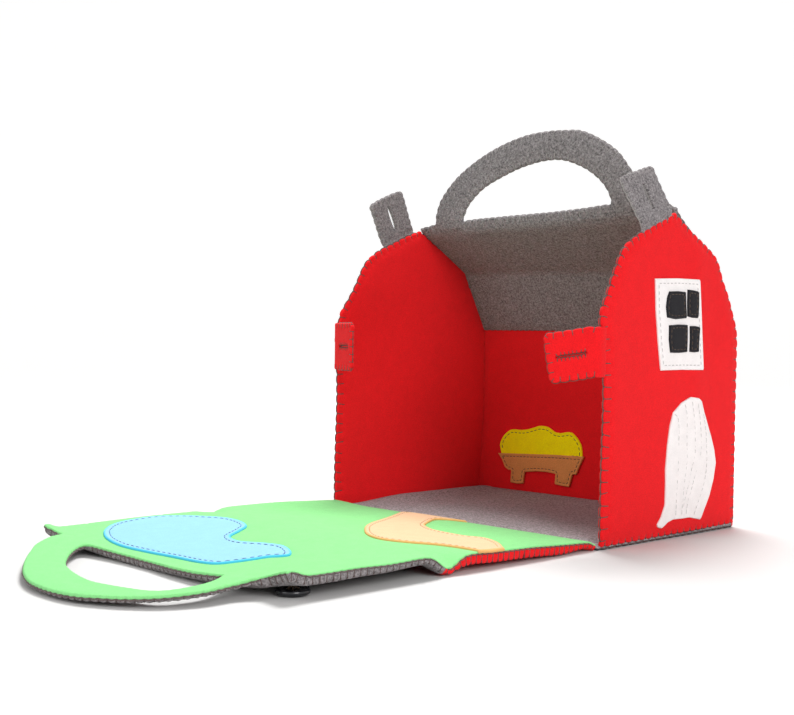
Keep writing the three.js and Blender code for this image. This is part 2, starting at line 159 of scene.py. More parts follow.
def mesh_object(name, points, triangles):
    """Object at the origin from points in millimetres and triangles, turned to face outwards by its
    volume's sign."""
    points = np.asarray(points, float) / 1000
    a, b, c = (points[triangles[:, k]] for k in range(3))
    if np.einsum("ij,ij->i", a, np.cross(b, c)).sum() < 0:
        triangles = triangles[:, ::-1]
    mesh = bpy.data.meshes.new(name)
    mesh.vertices.add(len(points))
    mesh.vertices.foreach_set("co", points.astype(np.float32).ravel())
    mesh.loops.add(triangles.size)
    mesh.loops.foreach_set("vertex_index", triangles.astype(np.int32).ravel())
    mesh.polygons.add(len(triangles))
    mesh.polygons.foreach_set("loop_start", np.arange(0, triangles.size, 3, dtype=np.int32))
    mesh.polygons.foreach_set("use_smooth", np.ones(len(triangles), bool))
    mesh.update(calc_edges=True)
    made = bpy.data.objects.new(name, mesh)
    bpy.context.scene.collection.objects.link(made)
    return made


def resample(points, step, closed=True):
    """Points a step apart along the line through the given points."""
    line = np.asarray(points, float)
    if closed:
        line = np.vstack([line, line[:1]])
    run = np.concatenate([[0], np.cumsum(np.linalg.norm(np.diff(line, axis=0), axis=1))])
    count = max(3, round(run[-1] / step))
    at = np.linspace(0, run[-1], count + (not closed), endpoint=not closed)
    return np.stack([np.interp(at, run, line[:, k]) for k in range(line.shape[1])], axis=1)


def spline(points, per=10):
    """Closed Catmull-Rom curve: between two points, the cubic whose slopes are half the chord of the
    neighbours."""
    p = np.asarray(points, float)[:, None]
    before, after, beyond = (np.roll(p, k, 0) for k in (1, -1, -2))
    t = (np.arange(per) / per)[None, :, None]
    curve = p + t * ((after - before) / 2 + t * ((before - 2.5 * p + 2 * after - beyond / 2)
                     + t * (1.5 * (p - after) + (beyond - before) / 2)))
    return curve.reshape(-1, p.shape[2])


def through(points, per=8):
    """Open Catmull-Rom curve through the points."""
    points = np.asarray(points, float)
    ends = [2 * points[0] - points[1]], [2 * points[-1] - points[-2]]
    curve = spline(np.vstack([ends[0], points, ends[1]]), per)
    return curve[per : per * len(points) + 1]


def inward(loop):
    """Unit normals to the left of a closed line of points, each from its two neighbours."""
    along = np.roll(loop, -1, 0) - np.roll(loop, 1, 0)
    along /= np.linalg.norm(along, axis=1)[:, None]
    return np.stack([-along[:, 1], along[:, 0]], axis=1)


def area_of(loop):
    """Area inside a closed line, by the shoelace sum; negative where it runs clockwise."""
    x, y = loop.T
    return (x * np.roll(y, -1) - y * np.roll(x, -1)).sum() / 2


def inside(points, loops):
    """Whether each point is inside the loops: it is where a level ray to the right crosses an odd number of
    edges."""
    found = np.zeros(len(points), bool)
    for loop in loops:
        a, b = loop, np.roll(loop, -1, 0)
        for start in range(0, len(points), 2000):
            p = points[start : start + 2000, None]
            spans = (a[:, 1] > p[..., 1]) != (b[:, 1] > p[..., 1])
            with np.errstate(divide="ignore", invalid="ignore"):
                cross = a[:, 0] + (p[..., 1] - a[:, 1]) / (b[:, 1] - a[:, 1]) * (b[:, 0] - a[:, 0])
            found[start : start + 2000] ^= (np.sum(spans & (p[..., 0] < cross), axis=1) % 2).astype(bool)
    return found


def nearest(points, loops, runs):
    """Distance from each point to the loops' edges, and the run along the loops of the nearest place."""
    distance, run = np.full(len(points), 1e9), np.zeros(len(points))
    for loop, start_run in zip(loops, runs):
        a, way = loop, np.roll(loop, -1, 0) - loop
        size = np.einsum("ij,ij->i", way, way)
        before = np.concatenate([[0], np.cumsum(np.sqrt(size))])[:-1] + start_run
        for start in range(0, len(points), 1500):
            p = points[start : start + 1500, None] - a
            t = np.clip(np.einsum("ijk,jk->ij", p, way) / size, 0, 1)
            away = np.linalg.norm(p - t[..., None] * way, axis=2)
            best = away.argmin(1)
            rows = np.arange(len(best))
            here = slice(start, start + 1500)
            better = away[rows, best] < distance[here]
            value = before[best] + t[rows, best] * np.sqrt(size[best])
            distance[here] = np.where(better, away[rows, best], distance[here])
            run[here] = np.where(better, value, run[here])
    return distance, run


class Cut:
    """A felt shape cut flat and meshed: its rims, rings of points inside them and a looser grid between.

    Each point knows how far it lies from the nearest rim and how far along the rims that place is.
    `marks` are heights at which the shape is divided into parts.
    """

    rings = (0.3, 0.75, 1.4, 2.2, 3.1, 4.1, 5.2, 6.4, 7.8, 9.6)

    def __init__(self, outline, holes=(), marks=(), fine=0.95, coarse=4.2):
        loops = [resample(line, fine) for line in (outline, *holes)]
        self.loops = [
            loop if (area_of(loop) > 0) == (i == 0) else loop[::-1] for i, loop in enumerate(loops)
        ]
        self.marks = marks
        for loop in self.loops:
            for mark in marks:
                close = np.abs(loop[:, 1] - mark) <= fine / 2
                close &= np.abs(inward(loop)[:, 0]) > 0.9
                loop[close, 1] = mark
        sizes = [np.linalg.norm(np.roll(loop, -1, 0) - loop, axis=1) for loop in self.loops]
        self.lengths = [size.sum() for size in sizes]
        self.runs = np.concatenate([[0], np.cumsum(self.lengths)])[:-1]
        rim_runs = [np.concatenate([[0], np.cumsum(size)])[:-1] + run for size, run in zip(sizes, self.runs)]
        rim = np.vstack(self.loops)
        inner = []
        for ring in self.rings:
            stride = 1 if ring < 7 else 2
            inner += [(loop + inward(loop) * ring)[::stride] for loop in self.loops]
        low, high = rim.min(0), rim.max(0)

        def row(start, step, level):
            """Points a step apart on one level, from a start to the right end of the shape."""
            across = np.arange(start, high[0], step)
            return np.stack([across, np.full_like(across, level)], axis=1)

        levels = np.arange(low[1], high[1], coarse * 0.87)
        grid = [row(low[0] + (i % 2) * coarse / 2, coarse, level) for i, level in enumerate(levels)]
        ring_points, grid_points = np.vstack(inner), np.vstack(grid)
        lines = [row(low[0], 1.9, mark) for mark in marks]
        points = np.vstack([ring_points, grid_points, *lines])
        by_ring = zip(inner, np.repeat(self.rings, len(self.loops)))
        wanted = np.concatenate([
            *(np.full(len(points_of_ring), ring) for points_of_ring, ring in by_ring),
            np.full(len(grid_points), self.rings[-1] + coarse * 0.7),
            np.full(sum(map(len, lines)), 0.25),
        ])
        away, run = nearest(points, self.loops, self.runs)
        keep = (away > wanted * 0.93) & inside(points, self.loops)
        on_line = np.arange(len(points)) >= len(ring_points) + len(grid_points)
        for mark in marks:
            keep &= on_line | (np.abs(points[:, 1] - mark) > 0.8)
        self.points = np.vstack([rim, points[keep]])
        self.away = np.concatenate([np.zeros(len(rim)), away[keep]])
        self.run = np.concatenate([*rim_runs, run[keep]])
        edges, first = [], 0
        for loop in self.loops:
            ids = np.arange(first, first + len(loop))
            edges.append(np.stack([ids, np.roll(ids, -1)], axis=1))
            first += len(loop)
        for mark in marks:
            level = np.flatnonzero(np.abs(self.points[:, 1] - mark) < 1e-6)
            level = level[np.argsort(self.points[level, 0])]
            pairs = np.stack([level[:-1], level[1:]], axis=1)
            middles = self.points[pairs].mean(1)
            edges.append(pairs[inside(middles, self.loops)])
        made = delaunay_2d_cdt(
            [Vector(p) for p in self.points.tolist()], np.vstack(edges).tolist(), [], 0, 1e-7, True
        )
        source = np.array([ids[0] if ids else -1 for ids in made[3]])
        triangles = source[np.array([f for f in made[2] if len(f) == 3])]
        triangles = triangles[(triangles >= 0).all(1)]
        middles = self.points[triangles].mean(1)
        corners = self.points[triangles]
        big = np.abs(np.cross(corners[:, 1] - corners[:, 0], corners[:, 2] - corners[:, 0])) > 1e-4
        self.triangles = triangles[inside(middles, self.loops) & big]

    def at(self, runs, depth):
        """Places on the cut, from runs along its rims and depths inside them, by each rim's line and
        normal."""
        found = np.zeros((*np.shape(runs), 2))
        for loop, start, size in zip(self.loops, self.runs, self.lengths):
            mine = (runs >= start - 1e-9) & (runs <= start + size + 1e-9)
            line = np.vstack([loop, loop[:1]])
            normal = np.vstack([inward(loop), inward(loop)[:1]])
            rim = np.concatenate([[0], np.cumsum(np.linalg.norm(np.diff(line, axis=0), axis=1))]) + start
            here = np.asarray(runs)[mine]
            for k in range(2):
                side = np.interp(here, rim, normal[:, k])
                found[mine, k] = np.interp(here, rim, line[:, k]) + side * np.asarray(depth)[mine]
        return found


class Seam:
    """Blanket stitches round a cut.

    Each of `sides` is two points that it runs between, whether its top and its bottom are stitched, and its
    own spacing and depth where they differ; it has a whole number of stitches. A stitch pulls the rim in by
    `pull` and presses a groove under its leg.
    """

    def __init__(self, cut, sides, pitch, depth, seed, pull=0.42, press=0.42):
        self.cut, self.pull, self.press = cut, pull, press
        draw = np.random.default_rng(seed)
        runs, top, bottom, gaps, depths = [], [], [], [], []
        for start, end, on_top, on_bottom, *own in sides:
            space, deep = own or (pitch, depth)
            _, (a, b) = nearest(np.array([start, end], float), cut.loops, cut.runs)
            hole = next((i for i, r in enumerate(cut.runs) if r <= a + 1e-6 and (
                i + 1 == len(cut.runs) or a < cut.runs[i + 1] - 1e-6)), 0)
            total = cut.lengths[hole]
            span = (b - a) % total
            span = total if span < 1e-3 or total - span < 1e-3 else span
            count = max(2, round(span / space))
            depths.append(np.full(count, deep))
            at = (a - cut.runs[hole] + (np.arange(count) + 0.5) * span / count) % total + cut.runs[hole]
            runs.append(at)
            gaps.append(np.append(np.full(count - 1, span / count), 0))
            top.append(np.full(count, on_top))
            bottom.append(np.full(count, on_bottom))
        self.run = np.concatenate(runs)
        self.gap = np.concatenate(gaps)
        self.top, self.bottom = np.concatenate(top), np.concatenate(bottom)
        count = len(self.run)
        self.lean = draw.normal(0, 0.09, count)
        self.depth = np.concatenate(depths) * (1 + draw.normal(0, 0.07, count))
        self.order = np.argsort(self.run)

    def near(self, run, away):
        """The nearest stitch to each place, and how far along the rim it is from that stitch's leg."""
        runs = self.run[self.order]
        i = np.clip(np.searchsorted((runs[1:] + runs[:-1]) / 2, run), 0, len(runs) - 1)
        stitch = self.order[i]
        return stitch, run - self.run[stitch] - self.lean[stitch] * away

    def scallop(self, run, away):
        """How far the rim is pulled in: a bell curve about each stitch, fading 3 mm inside the rim."""
        stitch, along = self.near(run, 0 * away)
        active = self.top[stitch] | self.bottom[stitch]
        return self.pull * active * np.exp(-((along / 1.05) ** 2)) * np.clip(1 - away / 3, 0, 1)

    def groove(self, run, away, on_top):
        """Depth of the groove under the legs: a bell curve across each, ending at its needle hole, and the
        felt swelling a little between two legs."""
        stitch, along = self.near(run, away)
        active = (self.top if on_top else self.bottom)[stitch]
        reach = 1 - smooth((away - self.depth[stitch] + 0.6) / 1.2)
        hole = np.exp(-(along**2 + (away - self.depth[stitch] + 0.3) ** 2) / 0.8)
        swell = 0.14 * (1 - np.exp(-((along / 1.6) ** 2)))
        return active * reach * (self.press * np.exp(-((along / 0.8) ** 2)) - swell) + active * 0.25 * hole


def tube(paths, radius, sides=6):
    """Round threads: each path's points get a ring of the radius, square to the path, with rings that turn
    as little as they can from one point to the next (double reflection), and a point at either end."""
    paths = np.asarray(paths, float)
    count, steps = paths.shape[:2]
    way = np.gradient(paths, axis=1)
    way /= np.maximum(np.linalg.norm(way, axis=2), 1e-9)[..., None]
    helper = np.where(np.abs(way[:, :1, 2:]) < 0.9, [[[0.0, 0, 1]]], [[[1.0, 0, 0]]])
    side = np.cross(way[:, 0], helper[:, 0])
    side /= np.linalg.norm(side, axis=1)[:, None]
    normals = [side]
    for i in range(1, steps):
        step = paths[:, i] - paths[:, i - 1]
        size = np.maximum(np.einsum("ij,ij->i", step, step), 1e-12)[:, None]
        turned = side - step * 2 * np.einsum("ij,ij->i", step, side)[:, None] / size
        ahead = way[:, i - 1] - step * 2 * np.einsum("ij,ij->i", step, way[:, i - 1])[:, None] / size
        gap = way[:, i] - ahead
        size = np.maximum(np.einsum("ij,ij->i", gap, gap), 1e-12)[:, None]
        side = turned - gap * 2 * np.einsum("ij,ij->i", gap, turned)[:, None] / size
        side /= np.maximum(np.linalg.norm(side, axis=1), 1e-9)[:, None]
        normals.append(side)
    normals = np.stack(normals, axis=1)
    other = np.cross(way, normals)
    angle = np.arange(sides) * 2 * np.pi / sides
    radius = np.broadcast_to(np.asarray(radius, float), (steps,))
    rings = paths[:, :, None] + radius[None, :, None, None] * (
        normals[:, :, None] * np.cos(angle)[:, None] + other[:, :, None] * np.sin(angle)[:, None]
    )
    points = np.concatenate([rings.reshape(count, -1, 3), paths[:, :1], paths[:, -1:]], axis=1)
    i, k = np.meshgrid(np.arange(steps - 1), np.arange(sides), indexing="ij")
    a, b = i * sides + k, i * sides + (k + 1) % sides
    body = np.stack([a, b, b + sides, a, b + sides, a + sides], axis=-1).reshape(-1, 3)
    k = np.arange(sides)
    after, last_ring = (k + 1) % sides, (steps - 1) * sides
    first, last = steps * sides, steps * sides + 1
    ends = np.vstack([
        np.stack([np.full(sides, first), after, k], axis=1),
        np.stack([np.full(sides, last), k + last_ring, after + last_ring], axis=1),
    ])
    triangles = np.vstack([body, ends])
    shift = np.arange(count)[:, None, None] * (steps * sides + 2)
    return points.reshape(-1, 3), (triangles[None] + shift).reshape(-1, 3)


def threads(name, bundles, material, radius, keep=None):
    """One object of all the threads in the bundles, each an array of paths; `keep` picks paths by their
    middle."""
    points, triangles, first = [], [], 0
    for paths in bundles:
        paths = np.asarray(paths, float)
        if keep is not None and len(paths):
            paths = paths[keep(paths.mean(1))]
        if not len(paths):
            continue
        p, t = tube(paths, radius)
        points.append(p)
        triangles.append(t + first)
        first += len(p)
    made = mesh_object(name, np.vstack(points), np.vstack(triangles))
    made.data.materials.append(material)
    return made


class Panel:
    """A cut laid in space: mid(u, v) gives its middle sheet, and heights are measured along that sheet's
    normal."""

    def __init__(self, cut, mid, half, seam=None, face=1, swell=8.0, round_rim=0.8):
        self.cut, self.mid, self.seam, self.face = cut, mid, seam, face
        self.half, self.swell, self.round_rim = half, swell, round_rim
        self.points = cut.points.copy()
        if seam:
            rim_way = cut.at(cut.run, cut.away + 1) - cut.at(cut.run, cut.away)
            self.points = self.points + rim_way * seam.scallop(cut.run, cut.away)[:, None]

    def place(self, uv, w):
        """Point w above the middle sheet: mid(u, v) plus w times the cross product of the sheet's two
        slopes."""
        u, v = uv[..., 0], uv[..., 1]
        step = 0.05
        across = self.mid(u + step, v) - self.mid(u - step, v)
        along = self.mid(u, v + step) - self.mid(u, v - step)
        normal = np.cross(across, along)
        normal *= self.face / np.linalg.norm(normal, axis=-1)[..., None]
        return self.mid(u, v) + normal * np.asarray(w)[..., None]

    def height(self, uv, run, away, on_top=True, grooved=True):
        """Half thickness: the edge's, rising to the middle's over `swell` and rounded like a quarter
        ellipse at the rim, less the stitches' grooves. `half` gives the edge's and the middle's at a place
        on a face."""
        edge, middle = self.half(uv, on_top)
        rise = edge + (middle - edge) * smooth(away / self.swell)
        rim = np.clip(away / self.round_rim, 0, 1)
        rise = rise * (0.3 + 0.7 * np.sqrt(1 - (1 - rim) ** 2))
        if self.seam and grooved:
            rise = rise - self.seam.groove(run, away, on_top) * (0.35 + 0.65 * rim)
        return np.maximum(rise, 0.12)

    def solid(self, name, material, low, high, part=None):
        """Closed felt body between two heights of the cut's points. Rim walls share the faces' points, so
        they round off, and the edges at a mark are sharp, so that the next part joins on without a line."""
        cut = self.cut
        triangles = cut.triangles
        if part:
            middle = self.points[triangles][..., 1].mean(1)
            triangles = triangles[(middle > part[0]) & (middle < part[1])]
        used = np.unique(triangles)
        index = np.full(len(self.points), -1)
        index[used] = np.arange(len(used))
        triangles = index[triangles]
        uv, size = self.points[used], len(used)
        top, bottom = self.place(uv, high[used]), self.place(uv, low[used])
        edges = np.vstack([triangles[:, [0, 1]], triangles[:, [1, 2]], triangles[:, [2, 0]]])
        key = edges.min(1) * size + edges.max(1)
        _, first, count = np.unique(key, return_index=True, return_counts=True)
        border = edges[first[count == 1]]
        level = cut.points[used][border][..., 1]
        divided = np.zeros(len(border), bool)
        for mark in cut.marks:
            divided |= (np.abs(level - mark) < 1e-6).all(1)
        a, b = border.T
        walls = np.vstack([np.stack([b, a, a + size], 1), np.stack([b, a + size, b + size], 1)])
        faces = np.vstack([triangles, triangles[:, ::-1] + size, walls])
        made = mesh_object(name, np.vstack([top, bottom]), faces)
        if divided.any():
            on_mark = np.zeros(2 * size, bool)
            on_mark[border[divided].ravel()] = on_mark[border[divided].ravel() + size] = True
            ends = np.zeros(2 * len(made.data.edges), np.int32)
            made.data.edges.foreach_get("vertices", ends)
            sharp = made.data.attributes.new("sharp_edge", "BOOLEAN", "EDGE")
            sharp.data.foreach_set("value", on_mark[ends.reshape(-1, 2)].all(1))
        made.data.materials.append(material)
        return made

    def ply(self, name, material, on_top=True, part=None, inner=0.05):
        """The felt on one face, from just off the middle sheet to the panel's outer height."""
        outer = self.height(self.points, self.cut.run, self.cut.away, on_top)
        inner = np.full_like(outer, inner)
        return (self.solid(name, material, inner, outer, part) if on_top
                else self.solid(name, material, -outer, -inner, part))

    def blanket(self, radius):
        """Paths of the blanket stitches: a leg on each stitched face, from its needle hole to the rim and
        over it, and a link along the rim to the next stitch."""
        seam, cut = self.seam, self.cut
        bundles = []
        inset = np.array([1.0, 0.94, 0.7, 0.45, 0.2])
        for on_top in (True, False):
            pick = np.flatnonzero(seam.top if on_top else seam.bottom)
            if not len(pick):
                continue
            depth = seam.depth[pick][:, None]
            away = np.concatenate([depth * inset, np.broadcast_to([0.75, 0.3, 0.0], (len(pick), 3))], axis=1)
            run = seam.run[pick][:, None] + seam.lean[pick][:, None] * away
            rise = self.height(cut.at(self.wrap(run), away), run, away, on_top) + radius * 0.15
            rise[:, 0] -= 1.1
            away[:, -1] = -radius * 0.3
            away[:, -3:] += seam.pull
            tip = np.stack([run[:, -1], np.zeros(len(pick)) + seam.pull - radius * 0.7], axis=1)
            run = np.concatenate([run, tip[:, :1]], axis=1)
            away = np.concatenate([away, tip[:, 1:]], axis=1)
            rise = np.concatenate([rise, np.zeros((len(pick), 1))], axis=1)
            bundles.append(self.place(cut.at(self.wrap(run), away), rise * (1 if on_top else -1)))
        linked = np.flatnonzero((seam.gap > 0) & (seam.top | seam.bottom))
        t = np.linspace(0, 1, 7)
        run = seam.run[linked][:, None] + t * seam.gap[linked][:, None]
        sag = seam.scallop(self.wrap(run), 0 * run)
        away = -radius * 0.75 + 0.85 * sag
        away[:, [0, -1]] = seam.pull - radius * 0.7
        both = (seam.top & seam.bottom)[linked][:, None]
        shift = np.where(both, 0.0, np.where(seam.top[linked][:, None], 0.45, -0.45)) * np.sin(np.pi * t)
        bundles.append(self.place(cut.at(self.wrap(run), away), shift))
        return bundles

    def surface(self, uv, on_top=True):
        """Height of the face at any places, without its grooves."""
        flat = uv.reshape(-1, 2)
        away, run = nearest(flat, self.cut.loops, self.cut.runs)
        return self.height(flat, run, away, on_top, grooved=False).reshape(uv.shape[:-1])

    def wrap(self, run):
        """Runs brought back onto the loop that they started on."""
        run = np.array(run, float)
        for start, size in zip(self.cut.runs, self.cut.lengths):
            first = run[:, :1] if run.ndim == 2 else run
            mine = np.broadcast_to((first >= start - 1e-6) & (first < start + size), run.shape)
            run = np.where(mine, (run - start) % size + start, run)
        return run


def dashes(line, stitch, gap):
    """Places of a running stitch along a line: six over each stitch, with a gap before the next."""
    run = np.concatenate([[0], np.cumsum(np.linalg.norm(np.diff(line, axis=0), axis=1))])
    count = max(1, int(run[-1] / (stitch + gap)))
    t = (np.arange(count)[:, None] + np.linspace(0.1, 0.1 + stitch / (stitch + gap), 6)) * run[-1] / count
    t = np.minimum(t, run[-1])
    return np.stack([np.interp(t, run, line[:, k]) for k in range(2)], axis=2)


def inner_line(loop, distance, closed=True):
    """The line a distance inside a rim, without the places where it would cross itself."""
    loop = resample(loop, 0.6)
    loop = loop if area_of(loop) > 0 else loop[::-1]
    line = loop + inward(loop) * distance
    away, _ = nearest(line, [loop], [0])
    line = line[away > distance * 0.93]
    return np.vstack([line, line[:1]]) if closed else line


class Applique:
    """A flat felt shape sewn on a panel's face with running stitches inside its rim, which press a shallow
    groove. `under` is another shape that it lies on, in place of the panel."""

    def __init__(self, panel, outline, on_top=True, lines=(), under=None, thickness=1.15, fine=0.9, sink=0.1):
        self.sign = 1 if on_top else -1
        self.cut = Cut(outline, fine=fine, coarse=3.2)
        self.lines = [resample(line, 0.5, closed=False) for line in lines]
        self.thickness = thickness
        self.base = lambda uv: (under.top(uv) if under else panel.surface(uv, on_top)) - sink
        self.sheet = Panel(self.cut, panel.mid, None, face=panel.face)

    def top(self, uv):
        """Height of the shape's face: base plus thickness, less a groove of 0.34 mm along each sewn
        line."""
        flat = uv.reshape(-1, 2)
        groove = np.zeros(len(flat))
        for line in self.lines:
            for start in range(0, len(flat), 1500):
                here = slice(start, start + 1500)
                away = np.linalg.norm(flat[here, None] - line[None], axis=2).min(1)
                groove[here] = np.maximum(groove[here], 0.34 * np.exp(-((away / 0.9) ** 2)))
        return (self.base(flat) + self.thickness - groove).reshape(uv.shape[:-1])

    def solid(self, name, material):
        """Closed body from the face that it is sewn to up to its own face, rounded over 0.5 mm at the
        rim."""
        cut = self.cut
        base = self.base(cut.points)
        rim = np.clip(cut.away / 0.5, 0, 1)
        high = base + (self.top(cut.points) - base) * (0.55 + 0.45 * np.sqrt(1 - (1 - rim) ** 2))
        low = base - 0.25
        pair = (low, high) if self.sign > 0 else (-high, -low)
        made = self.sheet.solid(name, material, *pair)
        # Painted shade on the cut edge: the rim attribute is 1 on the edge, sides and underside, fading to 0
        # about 1.4 mm inside the face
        near = 1 - smooth((cut.away - 0.15) / 1.3)
        values = made.data.attributes.new("rim", "FLOAT", "POINT")
        sides = (near, np.ones_like(near))
        values.data.foreach_set("value", np.concatenate(sides if self.sign > 0 else sides[::-1]))
        return made

    def sewn(self, stitch, gap, radius):
        """Running stitches along the sewn lines."""
        found = []
        for line in self.lines:
            uv = dashes(line, stitch, gap)
            found.append(self.sheet.place(uv, self.sign * (self.top(uv) + running_dip(radius))))
        return found


def running_dip(radius):
    """Heights of a running stitch's six points over the felt: under it at both ends, half sunk between."""
    return np.array([-0.8, 0.3, 0.55, 0.55, 0.3, -0.8]) * radius


class Fold:
    """A line in a plane with rounded corners: each corner is a quadratic curve between points a radius
    before and after it, and the whole is measured by its length."""

    def __init__(self, points, radii):
        points = [np.asarray(p, float) for p in points]
        line = [points[0][None]]
        for before, corner, after, radius in zip(points, points[1:], points[2:], radii):
            a = corner + (before - corner) / np.linalg.norm(before - corner) * radius
            b = corner + (after - corner) / np.linalg.norm(after - corner) * radius
            t = np.linspace(0, 1, 41)[:, None]
            line.append((1 - t) ** 2 * a + 2 * t * (1 - t) * corner + t**2 * b)
        line.append(points[-1][None])
        self.line = np.vstack(line)
        self.run = np.concatenate([[0], np.cumsum(np.linalg.norm(np.diff(self.line, axis=0), axis=1))])

    def at(self, run):
        """Both coordinates at a run along the line, carried straight on past its ends."""
        run = np.asarray(run, float)
        found = [np.interp(run, self.run, self.line[:, k]) for k in range(2)]
        first = (self.line[1] - self.line[0]) / self.run[1]
        last = (self.line[-1] - self.line[-2]) / (self.run[-1] - self.run[-2])
        under, over = np.minimum(run, 0), np.maximum(run - self.run[-1], 0)
        return [found[k] + first[k] * under + last[k] * over for k in range(2)]

    def run_at(self, point):
        """Run of the place nearest to a point."""
        t = np.linspace(0, self.run[-1], 8001)
        a, b = self.at(t)
        return t[np.argmin((a - point[0]) ** 2 + (b - point[1]) ** 2)]


def ripple(u, v, size, seed):
    """Soft unevenness of sewn felt: five long sine waves of random direction, length 45-120 mm and
    phase."""
    draw = np.random.default_rng(seed)
    total = 0
    for _ in range(5):
        angle, wave, phase = draw.uniform(0, np.pi), draw.uniform(45, 120), draw.uniform(0, 2 * np.pi)
        total = total + np.sin((u * np.cos(angle) + v * np.sin(angle)) * 2 * np.pi / wave + phase)
    return total * size / 5


# Materials


def nodes_of(name):
    """New material with only its shader and output, and its node tree."""
    material = bpy.data.materials.new(name)
    material.use_nodes = True
    tree = material.node_tree
    shader = next(n for n in tree.nodes if n.type == "BSDF_PRINCIPLED")
    return material, tree, shader


def node(tree, kind, settings=None, inputs=None):
    """Adds a node, sets its properties, and sets each input to a value or links it to an output."""
    made = tree.nodes.new(kind)
    for key, value in (settings or {}).items():
        setattr(made, key, value)
    for key, value in (inputs or {}).items():
        if isinstance(value, bpy.types.NodeSocket):
            tree.links.new(value, made.inputs[key])
        else:
            made.inputs[key].default_value = value
    return made


def shade(rgba, factor):
    """The colour with each channel times a factor, held between 0 and 1."""
    return [max(0.0, min(1.0, c * factor)) for c in rgba[:3]] + [1.0]


def felt_material(name, rgba, light, dark, speckle, fibre=0.55, bump=0.35, sheen=0.05, rim=None):
    """Pressed wool-blend felt: matted fibres, drawn `fibre` millimetres wide so that they show, over cloudy
    patches a few millimetres wide. The fibres run from the colour times `dark` to the colour times `light`;
    the smaller `speckle`, the sharper single fibres stand out. `rim` is a darker colour painted on a cut
    edge as painted shade; the mesh's rim attribute says where that is."""
    material, tree, shader = nodes_of(name)
    place = node(tree, "ShaderNodeTexCoord").outputs["Object"]
    warp = node(tree, "ShaderNodeTexNoise", {"noise_dimensions": "3D"}, {
        "Vector": place, "Scale": 420.0, "Detail": 2.0}).outputs["Color"]
    bent = node(tree, "ShaderNodeMixRGB", {"blend_type": "LINEAR_LIGHT"}, {
        "Fac": 0.0009, "Color1": place, "Color2": warp}).outputs["Color"]
    fibres = node(tree, "ShaderNodeTexNoise", None, {
        "Vector": bent, "Scale": 1000 / fibre, "Detail": 3.0, "Roughness": 0.7}).outputs["Fac"]
    clouds = node(tree, "ShaderNodeTexNoise", None, {
        "Vector": place, "Scale": 160.0, "Detail": 3.0, "Roughness": 0.6}).outputs["Fac"]
    tone = node(tree, "ShaderNodeValToRGB", None, {"Fac": fibres})
    tone.color_ramp.elements[0].position, tone.color_ramp.elements[1].position = 0.5 - speckle, 0.5 + speckle
    tone.color_ramp.elements[0].color = shade(rgba, dark)
    tone.color_ramp.elements[1].color = shade(rgba, light)
    cloud = node(tree, "ShaderNodeMapRange", None, {
        "Value": clouds, "From Min": 0.3, "From Max": 0.7, "To Min": 0.965, "To Max": 1.035}).outputs["Result"]
    mixed = node(tree, "ShaderNodeVectorMath", {"operation": "SCALE"}, {
        0: tone.outputs["Color"], "Scale": cloud}).outputs["Vector"]
    # Painted shade: the darker rim colour is mixed in where the rim attribute is high
    if rim:
        where = node(tree, "ShaderNodeAttribute", {"attribute_name": "rim"}).outputs["Fac"]
        mixed = node(tree, "ShaderNodeMixRGB", None, {
            "Fac": where, "Color1": mixed, "Color2": linear(rim)}).outputs["Color"]
    tree.links.new(mixed, shader.inputs["Base Color"])
    height = node(tree, "ShaderNodeMath", {"operation": "MULTIPLY_ADD"}, {0: clouds, 1: 0.8, 2: fibres})
    relief = node(tree, "ShaderNodeBump", None, {
        "Height": height.outputs[0], "Strength": bump, "Distance": 0.00035}).outputs["Normal"]
    tree.links.new(relief, shader.inputs["Normal"])
    shader.inputs["Roughness"].default_value = 0.95
    shader.inputs["Specular IOR Level"].default_value = 0.08
    shader.inputs["Sheen Weight"].default_value = sheen
    shader.inputs["Sheen Roughness"].default_value = 0.6
    return material


def thread_material(name, rgba):
    """Six-strand cotton thread: strands about 0.25 mm wide show as fine light and dark flecks."""
    material, tree, shader = nodes_of(name)
    place = node(tree, "ShaderNodeTexCoord").outputs["Object"]
    strands = node(tree, "ShaderNodeTexNoise", None, {
        "Vector": place, "Scale": 2600.0, "Detail": 1.0}).outputs["Fac"]
    tone = node(tree, "ShaderNodeValToRGB", None, {"Fac": strands})
    tone.color_ramp.elements[0].position, tone.color_ramp.elements[1].position = 0.3, 0.7
    tone.color_ramp.elements[0].color = shade(rgba, 0.72)
    tone.color_ramp.elements[1].color = shade(rgba, 1.35)
    tree.links.new(tone.outputs["Color"], shader.inputs["Base Color"])
    relief = node(tree, "ShaderNodeBump", None, {
        "Height": strands, "Strength": 0.4, "Distance": 0.00015}).outputs["Normal"]
    tree.links.new(relief, shader.inputs["Normal"])
    shader.inputs["Roughness"].default_value = 0.7
    shader.inputs["Sheen Weight"].default_value = 0.1
    return material


def button_material(name, rgba):
    """Pressed polyester shirt button: smooth and glossy, with faint swirls about 3 mm across."""
    material, tree, shader = nodes_of(name)
    place = node(tree, "ShaderNodeTexCoord").outputs["Object"]
    swirl = node(tree, "ShaderNodeTexNoise", None, {
        "Vector": place, "Scale": 330.0, "Detail": 2.0, "Distortion": 1.5}).outputs["Fac"]
    tone = node(tree, "ShaderNodeValToRGB", None, {"Fac": swirl})
    tone.color_ramp.elements[0].color = shade(rgba, 0.8)
    tone.color_ramp.elements[1].color = shade(rgba, 1.5)
    tree.links.new(tone.outputs["Color"], shader.inputs["Base Color"])
    shader.inputs["Roughness"].default_value = 0.22
    shader.inputs["IOR"].default_value = 1.5
    return material


# Shared state of one build


